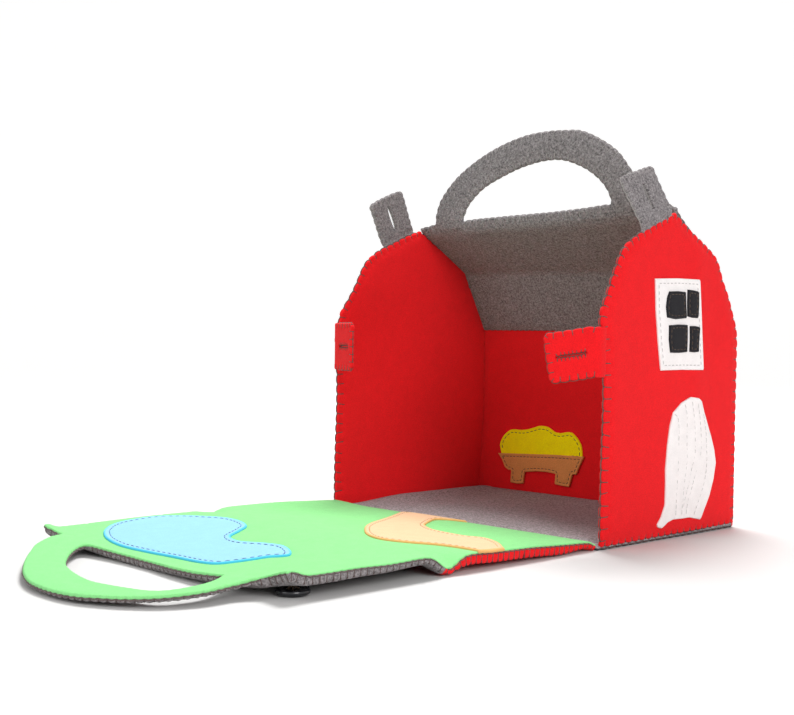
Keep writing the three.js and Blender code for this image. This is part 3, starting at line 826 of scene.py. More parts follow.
def sizes_of(context):
    """The settings in millimetres, with the angles and lengths that follow from them."""
    group = context.scene.barn_sizes
    s = SimpleNamespace(**{k: getattr(group, k) * 1000 for k in group.__annotations__})
    sewing = context.scene.barn_sewing
    for k in sewing.__annotations__:
        setattr(s, "sew_" + k, getattr(sewing, k) * 1000)
    s.half, s.deep = s.width / 2, s.depth / 2
    s.knee, s.ridge = s.eave + s.knee_rise, s.eave + s.ridge_rise
    s.gap = 0.3
    s.gable = np.array([
        [-s.deep, s.panel], [-s.deep, s.eave], [s.knee_inset - s.deep, s.knee], [0, s.ridge],
        [s.deep - s.knee_inset, s.knee], [s.deep, s.eave], [s.deep, s.panel],
    ])
    s.lower_turn = math.atan2(s.knee_inset, s.knee_rise)
    s.upper_turn = math.atan2(s.deep - s.knee_inset, s.ridge - s.knee)
    return s


def gable_line(s, distance):
    """Front eave, knee and ridge of the gable with its sides moved outwards: where neighbouring sides
    cross."""
    turns = [0, s.lower_turn, s.upper_turn]
    starts = s.gable[[0, 1, 2]]
    found = []
    outs = [np.array([-math.cos(t), math.sin(t)]) for t in turns]
    ways = [np.array([math.sin(t), math.cos(t)]) for t in turns]
    for i in (0, 1):
        a, b = starts[i] + outs[i] * distance, starts[i + 1] + outs[i + 1] * distance
        t = np.linalg.solve(np.stack([ways[i], -ways[i + 1]], axis=1), b - a)
        found.append(a + ways[i] * t[0])
    a = starts[2] + outs[2] * distance
    found.append(a - ways[2] * a[0] / ways[2][0])
    return found


def felt_of(key):
    """The material made by the colours operator, by its short name."""
    return bpy.data.materials[MATERIALS[key]]


MATERIALS = {
    "red": "red wool felt", "grey": "heather grey wool felt", "base": "dark grey wool felt",
    "green": "green wool felt", "blue": "blue wool felt with painted edge shade", "tan": "tan wool felt with painted edge shade",
    "yellow": "yellow wool felt", "brown": "brown wool felt", "white": "white wool felt",
    "black": "black wool felt", "thread": "grey cotton thread", "dark_thread": "dark cotton thread",
    "navy_thread": "navy cotton thread", "tan_thread": "tan cotton thread",
    "pale_thread": "pale grey cotton thread", "white_thread": "silver grey cotton thread",
    "floor": "heather grey wool felt with painted light", "navy": "navy pressed button",
    "black_button": "black pressed button",
}

MAT = SimpleNamespace()


# Operators


class BARN_OT_materials(bpy.types.Operator):
    """Makes the felts, threads and button plastics"""

    bl_idname = "barn.materials"
    bl_label = "Felts and threads"

    def execute(self, context):
        c = context.scene.barn_colours
        # Walls: strong even red, its fibres a shade lighter and darker, so that a plain wall looks soft
        felt_material(MATERIALS["red"], c.red, 1.1, 0.86, 0.14)
        # Roof: undyed heather, dark and pale wool carded together, so single fibres stand out as flecks
        felt_material(MATERIALS["grey"], c.grey, 1.75, 0.4, 0.17, fibre=1.15, bump=0.5, sheen=0.08)
        # Floor: the roof's wool painted a third paler, painted light that stands in for the light the roof
        # keeps off the inside
        floor = tuple(x * 1.35 for x in c.grey[:3]) + (1.0,)
        felt_material(MATERIALS["floor"], floor, 1.7, 0.42, 0.17, fibre=1.2, bump=0.5, sheen=0.08)
        # Underside: charcoal with soft flecks, a dark line under the grey floor
        felt_material(MATERIALS["base"], c.base, 1.4, 0.6, 0.17)
        # Play mat: calm light green, so that only its waves and seams show
        felt_material(MATERIALS["green"], c.green, 1.08, 0.9, 0.14)
        # Pond and path: flat pastel faces; their cut edges and a band just inside are painted a darker colour
        # as painted shade, which draws their outlines
        felt_material(MATERIALS["blue"], c.blue, 1.06, 0.93, 0.14, rim="#4DBBE6")
        felt_material(MATERIALS["tan"], c.tan, 1.06, 0.9, 0.14, rim="#DDA868")
        # Hay and manger: a bright and a woody spot against the red, with fibres that still show at their size
        felt_material(MATERIALS["yellow"], c.yellow, 1.1, 0.85, 0.15)
        felt_material(MATERIALS["brown"], c.brown, 1.12, 0.85, 0.15)
        # Window and door: clean white with little relief, so that their sewn lines show
        felt_material(MATERIALS["white"], c.white, 1.03, 0.95, 0.14, bump=0.25)
        # Panes: near black with paler fibres, so that they look like felt and not like holes
        felt_material(MATERIALS["black"], c.black, 1.7, 0.6, 0.16)
        # Blanket stitches of the walls, floor and mat: dark, so that every loop is seen
        thread_material(MATERIALS["thread"], c.thread)
        # Running stitches: dark brown on the hay, manger and panes, else a little darker than their felt
        thread_material(MATERIALS["dark_thread"], linear("#4A3520"))
        thread_material(MATERIALS["navy_thread"], linear("#2C4468"))
        thread_material(MATERIALS["tan_thread"], linear("#A8794F"))
        # Blanket stitches of the roof: pale against its grey
        thread_material(MATERIALS["pale_thread"], linear("#8F8A88"))
        # Running stitches of the window and door: a soft grey line on white
        thread_material(MATERIALS["white_thread"], linear("#B5B0AF"))
        # Buttons: the only glossy pieces, navy on the wall and black on the roof
        button_material(MATERIALS["navy"], c.button)
        button_material(MATERIALS["black_button"], linear("#17171B"))
        return {"FINISHED"}


def attach(made, body):
    """Lets a piece ride on a body by its name, or hands it to a function, which here bakes its place into its
    mesh.
    """
    if callable(body):
        body(made)
    else:
        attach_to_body(made, body)


def over_fold(first, second, start, end):
    """A function that bakes a piece's place into its mesh and leaves it on no body. The two bodies are not
    used, and the two points are turned to metres but not used.
    """
    start, end = ([float(x) / 1000 for x in point] for point in (start, end))
    return lambda made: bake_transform(made)


def felt_piece(made, nodes, body="barn_box"):
    """Says what a felt rides on and hides the nodes that it stands for."""
    attach(made, body)
    if nodes:
        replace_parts(made, *nodes)


def applied(shape, name, node_names, key, body="barn_box"):
    """A felt shape sewn on another felt."""
    made = shape.solid(name, felt_of(key))
    felt_piece(made, node_names, body)


def stitching(name, bundles, thread, radius, body="barn_box", keep=None):
    """All the stitches of one seam as one piece."""
    made = threads(name, bundles, felt_of(thread), radius, keep)
    attach(made, body)
    return made


def sewn(corners, on_top=False, on_bottom=True, *own):
    """Sides of a seam from each corner to the next, all sewn alike."""
    return [(a, b, on_top, on_bottom, *own) for a, b in zip(corners, corners[1:])]


def even(s):
    """Halves of a panel that is alike on both faces: the edge's and the middle's."""
    return lambda uv, on_top: (s.edge / 2, s.panel / 2 - SLACK)


def span(cut):
    """Width and height of a cut's outer rim."""
    return np.ptp(cut.loops[0], axis=0)


class BARN_OT_floor(bpy.types.Operator):
    """Floor of two felts, dark below and heather grey above"""

    bl_idname = "barn.floor"
    bl_label = "Floor"

    def execute(self, context):
        s = sizes_of(context)
        # The left side runs out towards the front, where the end wall bows out
        side = s.half - 1.4
        outline = [[-side - WALL_BOW, -s.deep], [side, -s.deep], [side, s.deep], [-side - 2.4, s.deep]]
        cut = Cut(outline)
        seam = Seam(cut, sewn([*outline, outline[0]]), s.sew_pitch, s.sew_depth, 11)

        def under_wall(u):
            """0 inside the barn and 1 under an end wall, by a smooth step 9 mm wide."""
            return smooth((np.abs(u) - s.half + 12) / 9)

        def mid(u, v):
            # Pressed flat under the end walls
            middle = s.panel / 2 + ripple(u, v, 0.12, 1) - 1.1 * under_wall(u)
            return np.stack([u, v, middle + 0 * u], axis=-1)

        def half(uv, on_top):
            # The lining curls up where it meets the left wall and the back wall
            u, v = uv[..., 0], uv[..., 1]
            curl = np.maximum(1.2 * smooth((-u - 72) / 20) * smooth((v + 56) / 46), smooth((v - 28) / 32))
            lift = 2.5 * curl if on_top else 0
            return s.edge / 2 - 0.4 * under_wall(u) + lift, s.panel / 2 - SLACK + lift

        floor = Panel(cut, mid, half, seam)
        # The top felt is the paler floor felt, with painted light
        top = floor.ply("floor_felt", felt_of("floor"))
        felt_piece(top, ["floor_lining", "floor_stiffener"])
        base = floor.ply("floor_base_felt", felt_of("base"), on_top=False)
        felt_piece(base, ["floor_base"])
        stitching("floor_stitches", floor.blanket(s.sew_thread), "thread", s.sew_thread)
        return {"FINISHED"}


class BARN_OT_end_walls(bpy.types.Operator):
    """Both gabled end walls, each two red felts"""

    bl_idname = "barn.end_walls"
    bl_label = "End walls"

    def execute(self, context):
        s = sizes_of(context)
        for name, side, seed in (("left", -1, 21), ("right", 1, 31)):
            inner = side < 0
            outline, (a, b, c, d, e, f, g) = self.outline(s, inner)
            cut = Cut(outline)
            slope = (s.sew_pitch, 3.3)
            # Sewn through both felts along the open front, else only on the outside
            sides = sewn([b, a], True) + sewn([c, b], True, True, *slope) + sewn([d, c], True, True, *slope)
            for corners, deep in (((e, d), 3.0), ((f, e), 3.0), ((g, f), 4.4), ((a, g), 2.4)):
                sides += sewn(corners, not inner, inner, s.sew_pitch, deep)
            seam = Seam(cut, sides, s.sew_pitch, s.sew_depth, seed, pull=0.8, press=0.55)

            def mid(u, v, side=side, seed=seed):
                out = wall_bulge(s, u, v, side) + ripple(u, v, 0.35, seed)
                return np.stack([side * (s.half - s.panel / 2 + out), u, v], axis=-1)

            wall = Panel(cut, mid, even(s), seam)
            setattr(MAT, name + "_wall", wall)
            for ply, on_top in (("outer", side > 0), ("lining", side < 0)):
                made = wall.ply(f"{name}_end_{ply}_felt", felt_of("red"), on_top)
                names = [f"{name}_end_{ply}"] + [f"{name}_end_stiffener"] * (ply == "outer")
                felt_piece(made, names)
            stitching(f"{name}_end_stitches", wall.blanket(s.sew_thread), "thread", s.sew_thread)
        return {"FINISHED"}

    def outline(self, s, left):
        """Hand-cut gable: depths as shares of the half depth and heights as shares of the ridge's, from the
        bottom front over the peak to the bottom back; and its corners."""
        front = -1.015 if left else -0.955
        shares = [[front, 0.008], [front - 0.005, 0.11], [front, 0.26], [front + 0.01, 0.4], [front, 0.53]]
        shares += [[front - 0.02, 0.61], [-0.999, 0.665], [-0.983, 0.698]]
        shares += [[-0.905, 0.755], [-0.82, 0.817], [-0.74, 0.868], [-0.65, 0.9], [-0.52, 0.927],
                   [-0.39, 0.947], [-0.185, 0.98], [0.015, 1.007]]
        shares += [[0.02, 1.007], [0.25, 0.958], [0.495, 0.914], [0.645, 0.884], [0.72, 0.85], [0.775, 0.81],
                   [0.86, 0.764], [0.945, 0.702], [1.015, 0.64]]
        shares += [[1.022, 0.55], [1.024, 0.31], [1.015, 0.16], [1.01, 0.014]]
        points = np.array(shares) * [s.deep, s.ridge]
        peak = 15
        line = np.vstack([through(points[: peak + 1]), through(points[peak + 1 :])])
        corner = [points[i] for i in (0, 7, 11, peak, 19, 24, 28)]
        return line[::-1], corner


def wall_bulge(s, u, v, side):
    """How far an end wall stands out: a soft hump of up to 1.1 mm that runs out at its edges. The right
    wall has a soft upright crease of 0.8 mm behind its middle. The left one bows out by WALL_BOW towards
    its front below the eave, and its rear foot flares by 2.4 mm."""
    hump = np.cos(np.clip(u / s.deep, -1, 1) * np.pi / 2) * np.sin(np.clip(v / s.ridge, 0, 1) * np.pi)
    crease = np.exp(-(((u - 22) / 9) ** 2)) * smooth((v - 10) / 40) * (1 - smooth((v - 150) / 25))
    if side > 0:
        return 1.1 * hump + 0.8 * crease
    bow = WALL_BOW * smooth((15 - u) / (15 + s.deep)) * (1 - smooth((v - s.eave + 2) / 30))
    flare = 2.4 * smooth((u - 15) / 45) * (1 - smooth(v / 65))
    return 1.1 * hump + bow + flare


class BARN_OT_back_wall(bpy.types.Operator):
    """Back wall, two red felts from the table to the eave"""

    bl_idname = "barn.back_wall"
    bl_label = "Back wall"

    def execute(self, context):
        s = sizes_of(context)
        eave = gable_line(s, s.gap + s.panel / 2)[0]
        left, right, top = 1.8 - s.half, s.half - 2.4, eave[1] - 1.6
        outline = [[left - 2.2, 0.4], [right, 0.4], [right, top], [left, top]]
        cut = Cut(outline)
        seam = Seam(cut, sewn([*outline, outline[0]]), s.sew_pitch, s.sew_depth, 41)
        depth = s.deep + s.gap + s.panel / 2

        def mid(u, v):
            lean = 1.3 * (1 - smooth(v / 70)) * smooth(-u / 60)
            # The seam draws the right edge forwards to the end wall's
            drawn = smooth((u - right + 10) / 10)
            return np.stack([u, depth + ripple(u, v, 0.3, 4) - lean - drawn, v], axis=-1)

        wall = Panel(cut, mid, even(s), seam)
        MAT.back_wall = wall
        for ply, on_top in (("lining", True), ("outer", False)):
            made = wall.ply(f"back_wall_{ply}_felt", felt_of("red"), on_top)
            names = [f"back_wall_{ply}"] + ["back_wall_stiffener"] * (ply == "outer")
            felt_piece(made, names)
        stitching("back_wall_stitches", wall.blanket(s.sew_thread), "thread", s.sew_thread)
        return {"FINISHED"}


def joint_at(name):
    """Place of a joint in millimetres."""
    found = next(j for j in frame["joints"] if j["name"] == name)
    return np.array(found["pos_m"]) * 1000


# Handles as cut by hand, from right to left round the outer line and the hole: across as shares of the
# handle's half width, away from the ridge as shares of its height
BACK_ARCH = (
    [[1.01, 0.117], [0.99, 0.24], [0.93, 0.36], [0.848, 0.451], [0.735, 0.659], [0.59, 0.813], [0.413, 0.939],
     [0.263, 0.972], [0.061, 0.987], [-0.145, 0.965], [-0.373, 0.886], [-0.576, 0.772], [-0.767, 0.622],
     [-0.89, 0.479], [-0.98, 0.328], [-1.024, 0.172], [-1.035, 0.053]],
    [[0.68, 0.121], [0.677, 0.17], [0.64, 0.284], [0.566, 0.407], [0.448, 0.53], [0.298, 0.627], [0.175, 0.664],
     [0.019, 0.661], [-0.172, 0.613], [-0.369, 0.523], [-0.537, 0.418], [-0.675, 0.259], [-0.725, 0.145],
     [-0.75, 0.059]],
    [[-0.6, 0.07], [-0.465, 0.073], [-0.165, 0.079], [0.152, 0.083], [0.453, 0.099]],
)
FRONT_ARCH = (
    [[1.03, 0.0], [0.99, 0.1], [0.972, 0.22], [0.98, 0.41], [0.95, 0.574], [0.893, 0.723], [0.79, 0.87],
     [0.69, 0.966], [0.541, 1.066], [0.34, 1.107], [0.1, 1.082], [-0.119, 0.98], [-0.323, 0.836], [-0.5, 0.69],
     [-0.658, 0.539], [-0.8, 0.39], [-0.9, 0.22], [-0.95, 0.1], [-1.0, 0.0]],
    [[0.7, 0.02], [0.775, 0.15], [0.825, 0.3], [0.832, 0.443], [0.81, 0.59], [0.74, 0.672], [0.6, 0.718],
     [0.466, 0.75], [0.33, 0.768], [0.152, 0.731], [-0.055, 0.652], [-0.225, 0.555], [-0.41, 0.39],
     [-0.53, 0.25], [-0.6, 0.13], [-0.59, 0.07]],
    [[-0.48, 0.055], [-0.36, 0.045], [-0.19, 0.033], [0.025, 0.038], [0.28, 0.07], [0.49, 0.08], [0.63, 0.05]],
)


def arch_of(arch, half, height, base):
    """Outer line and hole of a handle over v = base, and the hole's two corners."""
    outer, hole, edge = (np.array(part) * [half, height] + [0, base] for part in arch)
    return through(outer), np.vstack([through(hole), edge]), (hole[0], hole[-1])


def stretches(line, keep):
    """The stretches of a closed line where `keep` holds, each as an open line."""
    start = np.argmin(keep)
    line, keep = np.roll(line, -start, 0), np.roll(keep, -start)
    edges = np.flatnonzero(np.diff(np.append(keep, False).astype(int))) + 1
    return [line[a:b] for a, b in zip(edges[::2], edges[1::2])]


class BARN_OT_back_roof(bpy.types.Operator):
    """Back roof with the handle that rises from its ridge, two heather grey felts bent at the knee"""

    bl_idname = "barn.back_roof"
    bl_label = "Back roof and handle"

    def execute(self, context):
        s = sizes_of(context)
        eave, knee, ridge = gable_line(s, s.gap + s.panel / 2)
        handle_y = 0.3 + s.panel / 2
        way = np.array([math.sin(s.upper_turn), math.cos(s.upper_turn)])
        stop = ridge + way * (-handle_y - ridge[0]) / way[0]
        # Front-side points mirrored to the back: y changes sign
        lower = np.array([-math.sin(s.lower_turn), math.cos(s.lower_turn)])
        start = np.array([-eave[0], eave[1]]) - lower * 2.2
        line = Fold([start - [1.4, 0], [-knee[0] - 2.4, knee[1] - 1.6], [handle_y, stop[1]],
                     [handle_y, stop[1] + s.back_handle + 9]], [1.6, 8.0])
        knee_run = line.run_at(np.array([-knee[0] - 2.4, knee[1] - 1.6]))
        fold_run = line.run_at(joint_at("back_handle_fold")[1:])
        mark = fold_run - 0.2
        outer, inner, feet = arch_of(BACK_ARCH, s.handle_half, s.back_handle, fold_run)
        side, far = s.half - 2.4, 0.7 - s.half
        right = [[side, fold_run + 1.5], [s.half - 9, fold_run + 5]]
        left = [[9 - s.half, fold_run + 1.2], [far, fold_run + 0.6]]
        outline = np.vstack([[[far, 0], [side, 0]], right, outer, left])
        cut = Cut(outline, holes=[inner], marks=[mark])
        # Sewn on both faces where the roof ends and round the handle
        sides = sewn([[far, 0], [side, 0], right[0]]) + sewn([right[0], outer[0], outer[-1], left[-1]], True)
        sides += sewn([left[-1], [far, 0]]) + sewn([*feet, feet[0]], True)
        seam = Seam(cut, sides, 5.2, 4.2, 51)

        def mid(u, v):
            # The knee's crease sags, more towards the right
            sag = 3.2 + 2.1 * (u / side + 1)
            sag = sag * np.clip(np.minimum(v / knee_run, (mark - 8 - v) / (mark - 8 - knee_run)), 0, 1)
            # The seam draws the right edge forwards to the end wall's
            drawn = smooth((u - side + 10) / 10) * np.clip((mark - v) / 12, 0, 1)
            y, z = line.at(v)
            along = y - lower[0] * sag + ripple(u, v, 0.35, 5) - drawn
            return np.stack([u + 0 * v, along, z - lower[1] * sag], axis=-1)

        roof = Panel(cut, mid, even(s), seam, swell=7)
        y, z = (float(x) / 1000 for x in line.at(mark))

        def handle(made):
            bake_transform(made)

        for ply, on_top in (("lining", True), ("outer", False)):
            board = "lower" if ply == "outer" else "upper"
            for part, low, high, long, names, below, body in (
                ("roof", -FAR, mark, mark, [f"back_roof_{board}_stiffener"],
                 "back_wall_outer_felt", "barn_box"),
                ("handle", mark, FAR, s.back_handle, ["back_handle_core"] * (ply == "outer"),
                 "back_roof_outer_felt", handle),
            ):
                made = roof.ply(f"back_{part}_{ply}_felt", felt_of("grey"), on_top, part=(low, high))
                felt_piece(made, [f"back_{part}_{ply}", *names],
                           body)
        radius, top = s.sew_thread * 0.85, line.at(mark)[1]
        bundles = roof.blanket(radius)
        stitching("back_roof_stitches", bundles, "pale_thread", radius, keep=lambda p: p[:, 2] <= top)
        stitching("back_handle_stitches", bundles, "pale_thread", radius, handle,
                  keep=lambda p: p[:, 2] > top)
        return {"FINISHED"}


FLAP_SHARES = {
    # Shares of half the flap's width and of the front wall's length
    "path": [
        [0.1, 0.012], [-0.05, 0.01], [-0.2, 0.01], [-0.315, 0.014], [-0.37, 0.035], [-0.372, 0.075],
        [-0.25, 0.25], [-0.101, 0.461], [-0.01, 0.59], [0.088, 0.705], [0.22, 0.816], [0.32, 0.885],
        [0.417, 0.93], [0.524, 0.945], [0.639, 0.906], [0.743, 0.84], [0.842, 0.81], [0.921, 0.803],
        [0.985, 0.80], [1.001, 0.793], [1.001, 0.645], [0.985, 0.632], [0.87, 0.547], [0.704, 0.47],
        [0.591, 0.5], [0.433, 0.49], [0.31, 0.46], [0.167, 0.376], [0.07, 0.275], [-0.002, 0.184],
        [-0.055, 0.1], [-0.03, 0.055], [0.03, 0.03],
    ],
    # Shares of half the flap's width and of the two roof panels' length
    "pond": [
        [-0.674, 0.841], [-0.77, 0.76], [-0.836, 0.682], [-0.885, 0.58], [-0.901, 0.473], [-0.9, 0.38],
        [-0.877, 0.304], [-0.78, 0.225], [-0.651, 0.169], [-0.53, 0.121], [-0.4, 0.13], [-0.271, 0.187],
        [-0.19, 0.3], [-0.12, 0.417], [-0.04, 0.465], [0.048, 0.473], [0.166, 0.426], [0.286, 0.41],
        [0.413, 0.468], [0.485, 0.538], [0.47, 0.59], [0.44, 0.631], [0.425, 0.72], [0.4, 0.82],
        [0.355, 0.889], [0.244, 0.911], [0.054, 0.913], [-0.14, 0.931], [-0.347, 0.947], [-0.526, 0.915],
    ],
}


class Flap:
    """The front flap as one folded sheet from the floor's edge to the tip of its handle.

    Its middle line runs through the folds of the frame's joints; u goes across and v along the line.
    """

    rim_drop = 1.3

    def __init__(self, s):
        wall, eave, knee, handle = (
            joint_at(n)[1:] for n in ("front_wall_fold", "eave_fold", "knee_fold", "front_handle_fold")
        )

        def normal(a, b):
            """Unit vector square to the line from a to b: its two parts change places and one turns
            round."""
            way = (b - a) / np.linalg.norm(b - a)
            return np.array([way[1], -way[0]])

        n1, n2 = normal(wall, eave), normal(eave, knee)
        fall = math.asin(handle[1] / s.front_handle)
        d3 = np.array([-math.cos(fall), -math.sin(fall)])
        n3 = np.array([d3[1], -d3[0]])
        # The two felts meet above the middle of the board, so the outer one shows at the sides
        deep = self.rim_drop_of(s)
        ridge = handle + (n2 + n3) / 2 * (s.panel - deep)
        points = [wall - n1 * deep, eave - (n1 + n2) / 2 * deep, knee - n2 * deep, ridge,
                  ridge + d3 * (s.front_handle + 8)]
        self.line = Fold(points, [8, 5, 5])
        self.eave, self.knee, self.ridge = (self.line.run_at(p) for p in points[1:4])
        self.marks = [self.eave / 2, self.eave, (self.eave + self.knee) / 2, (self.knee + self.ridge) / 2]
        self.s = s

    def rim_drop_of(self, s):
        """How far the rims lie under the green face."""
        return s.panel / 2 - self.rim_drop

    def drape(self, u, v):
        """How the soft flap departs from its folded boards. Its middle sags from the eave on, up to 5 mm at
        the ridge, and the handle comes back to the table. The near side rises 0.9 mm behind the hinge, 0.6
        mm past the eave and 1.5 mm past the knee. The far side rises 1.9 mm behind the hinge and lies 1.7
        mm low on the roof. A bell at each of five places lets a corner droop or curl up."""
        s = self.s
        across = np.clip(1 - (u / (s.flap_half + 2)) ** 2, 0, 1)
        along = np.clip((v - self.eave) / (self.ridge - self.eave), 0, None)
        back = np.clip((v - self.ridge) / s.front_handle, 0, 1)
        sag = -5.0 * across * np.minimum(along, 1) ** 1.2 * (1 - back)
        edge = s.flap_half
        near = np.exp(-(((u - edge) / 25) ** 2))
        past = smooth((v - self.eave) / 12)
        fade = 1 - smooth((v - self.ridge) / 12)
        far = np.exp(-(((u + edge) / 25) ** 2))
        total = sag + near * fade * (0.6 * past + 0.9 * smooth((v - self.knee + 15) / 25)
                                     + 0.9 * smooth(v / 5) * (1 - smooth((v - 45) / 40)))
        total = total + far * (1.9 * smooth(v / 6) * (1 - smooth((v - 40) / 60))
                               - 1.7 * smooth((v - self.eave + 4) / 10) * fade)
        for side, at, size, wide, long in (
            (1, self.eave - 2.5, -6.0, 15, 8), (1, 0, -0.9, 14, 5), (1, self.ridge - 2, 2.8, 12, 6),
            (-1, self.ridge + 1, 2.6, 9, 5), (-1, self.eave - 9, -3.6, 15, 8),
        ):
            total = total + size * np.exp(-(((u - side * edge) / wide) ** 2) - ((v - at) / long) ** 2) * (
                smooth((self.ridge + 12 - v) / 12))
        return total + ripple(u, v, 0.35, 7) * smooth(v / 12) * (1 - back)

    def mid(self, u, v):
        """Middle sheet: the folded line moved up by the drape."""
        y, z = self.line.at(v)
        return np.stack([u + 0 * v, y, z + self.drape(u, v)], axis=-1)

    def half(self, uv, on_top):
        """Green felt: 0.95 mm over the middle sheet, on the handle 1.3 at the edge and 1.7 in the middle.
        Padded outer felt: at the edge 2.5 mm under the sheet by the hinge, 4.8 on the wall, 3.9 on the roof
        and 1.6 on the handle, and in the middle 0.1 to 0.9 mm lower."""
        v = uv[..., 1]
        on_handle = smooth((v - self.ridge + 2) / 8)
        if on_top:
            return 0.95 + 0.35 * on_handle, 0.95 + 0.75 * on_handle
        on_wall = smooth((v - 4) / 26) * (1 - smooth((v - self.eave + 15) / 12))
        on_roof = smooth((v - self.eave - 8) / 60) * (1 - on_handle)
        return (2.5 + 2.3 * on_wall + 1.4 * on_roof - 0.9 * on_handle,
                3.4 + 1.5 * on_wall + 0.9 * on_roof - 1.5 * on_handle)

    def parts(self):
        """The stretches of the flap between its marks: each lies over one fold, between two bodies, with a
        function that bakes its place into its mesh."""
        bodies = ("barn_box", "front_wall", "front_roof_lower", "front_roof_upper", "front_handle")
        folds = ((0, 5), (self.eave - 5, self.eave + 5), (self.knee - 5, self.knee + 5),
                 (self.ridge + 0.5, self.ridge + 5.5))
        marks = (-FAR, self.marks[0], *self.marks[2:], FAR)
        found = []
        for i, key in enumerate("abcd"):
            start, end = ([0, *self.line.at(run)] for run in folds[i])
            bend = over_fold(bodies[i], bodies[i + 1], start, end)
            found.append(SimpleNamespace(key=key, low=marks[i], high=marks[i + 1], bend=bend))
        return found


class BARN_OT_flap(bpy.types.Operator):
    """Front flap with its handle: green felt on the play side, red and grey felt on the outside"""

    bl_idname = "barn.flap"
    bl_label = "Front flap"

    def execute(self, context):
        s = sizes_of(context)
        flap = Flap(s)
        f, r = s.flap_half, flap.ridge
        outer, inner, feet = arch_of(FRONT_ARCH, s.handle_half, s.front_handle, r)
        blunt = [[-f + 9, r + 0.4], [-f + 4, r + 2.2], [-f + 1, r + 1.6], [-f, r - 1.5]]
        outline = np.vstack([[[-f, 0], [f, 0], [f, r]], outer, blunt])
        cut = Cut(outline, holes=[inner], marks=flap.marks)
        # Round all but the hinge, and round the hole
        right, left = [[f, 0], [f, flap.eave], [f, r]], [blunt[-1], [-f, flap.eave], [-f, 0]]
        sides = sewn([*right, outer[0], outer[-1], *left]) + sewn([*feet, feet[0]])
        seam = Seam(cut, sides, 3.9, 1.5, 61, pull=0.5, press=0.35)
        sheet = Panel(cut, flap.mid, flap.half, seam, face=-1, swell=3.5)
        MAT.flap, MAT.flap_sheet = flap, sheet
        a, b, c, d = parts = flap.parts()
        wall_mark, eave, roof_mark, last_mark = flap.marks
        for colour_key, part, low, high, names in (
            ("green", a, -FAR, wall_mark, ["front_wall_lining"]),
            ("green", b, wall_mark, roof_mark, ["front_wall_stiffener"]),
            ("green", c, roof_mark, last_mark, ["front_roof_lower_lining", "front_roof_lower_stiffener"]),
            ("green", d, last_mark, FAR, ["front_roof_upper_lining", "front_roof_upper_stiffener",
                                          "front_handle_lining", "front_handle_core"]),
            ("red", a, -FAR, wall_mark, ["front_wall_outer"]),
            ("red", b, wall_mark, eave, []),
            ("grey", b, eave, roof_mark, ["front_roof_lower_outer"]),
            ("grey", c, roof_mark, last_mark, []),
            ("grey", d, last_mark, FAR, ["front_roof_upper_outer", "front_handle_outer"]),
        ):
            name = f"flap_{colour_key}_felt_{part.key}"
            made = sheet.ply(name, felt_of(colour_key), colour_key == "green", part=(low, high))
            felt_piece(made, names,
                       part.bend)
        radius = s.sew_thread * 0.8
        bundles = sheet.blanket(radius)
        for part in parts:
            low, high = (flap.line.at(np.clip(x, -5, r + 90))[0] for x in (part.high, part.low))
            stitching(f"flap_stitches_{part.key}", bundles, "thread", radius, part.bend,
                      keep=lambda p, low=low, high=high: (p[:, 1] >= low) & (p[:, 1] < high))
        return {"FINISHED"}


class BARN_OT_flap_shapes(bpy.types.Operator):
    """Tan path and blue pond sewn on the green felt"""

    bl_idname = "barn.flap_shapes"
    bl_label = "Path and pond"

    def execute(self, context):
        s = sizes_of(context)
        flap, sheet = MAT.flap, MAT.flap_sheet
        path = spline(np.array(FLAP_SHARES["path"]) * [s.flap_half, flap.eave])
        # No stitches along the two ends, which lie flush with the flap's edges
        line = inner_line(path, 2.6)
        lines = stretches(line, (line[:, 0] < 0.965 * s.flap_half) & (line[:, 1] > 4.5))
        radius = s.sew_fine_thread
        shape = Applique(sheet, path, lines=lines)
        applied(shape, "path_felt", ["path"], "tan", "front_wall")
        stitching("path_stitches", shape.sewn(2.3, 1.3, radius), "tan_thread", radius, "front_wall")
        long = flap.ridge - flap.eave
        pond = spline(np.array(FLAP_SHARES["pond"]) * [s.flap_half, long] + [0, flap.eave])
        shape = Applique(sheet, pond, lines=[inner_line(pond, 3.0)])
        bend = flap.parts()[2].bend
        applied(shape, "pond_felt", ["pond_lower", "pond_upper"], "blue", bend)
        stitching("pond_stitches", shape.sewn(2.6, 1.4, radius), "navy_thread", radius, bend)
        return {"FINISHED"}


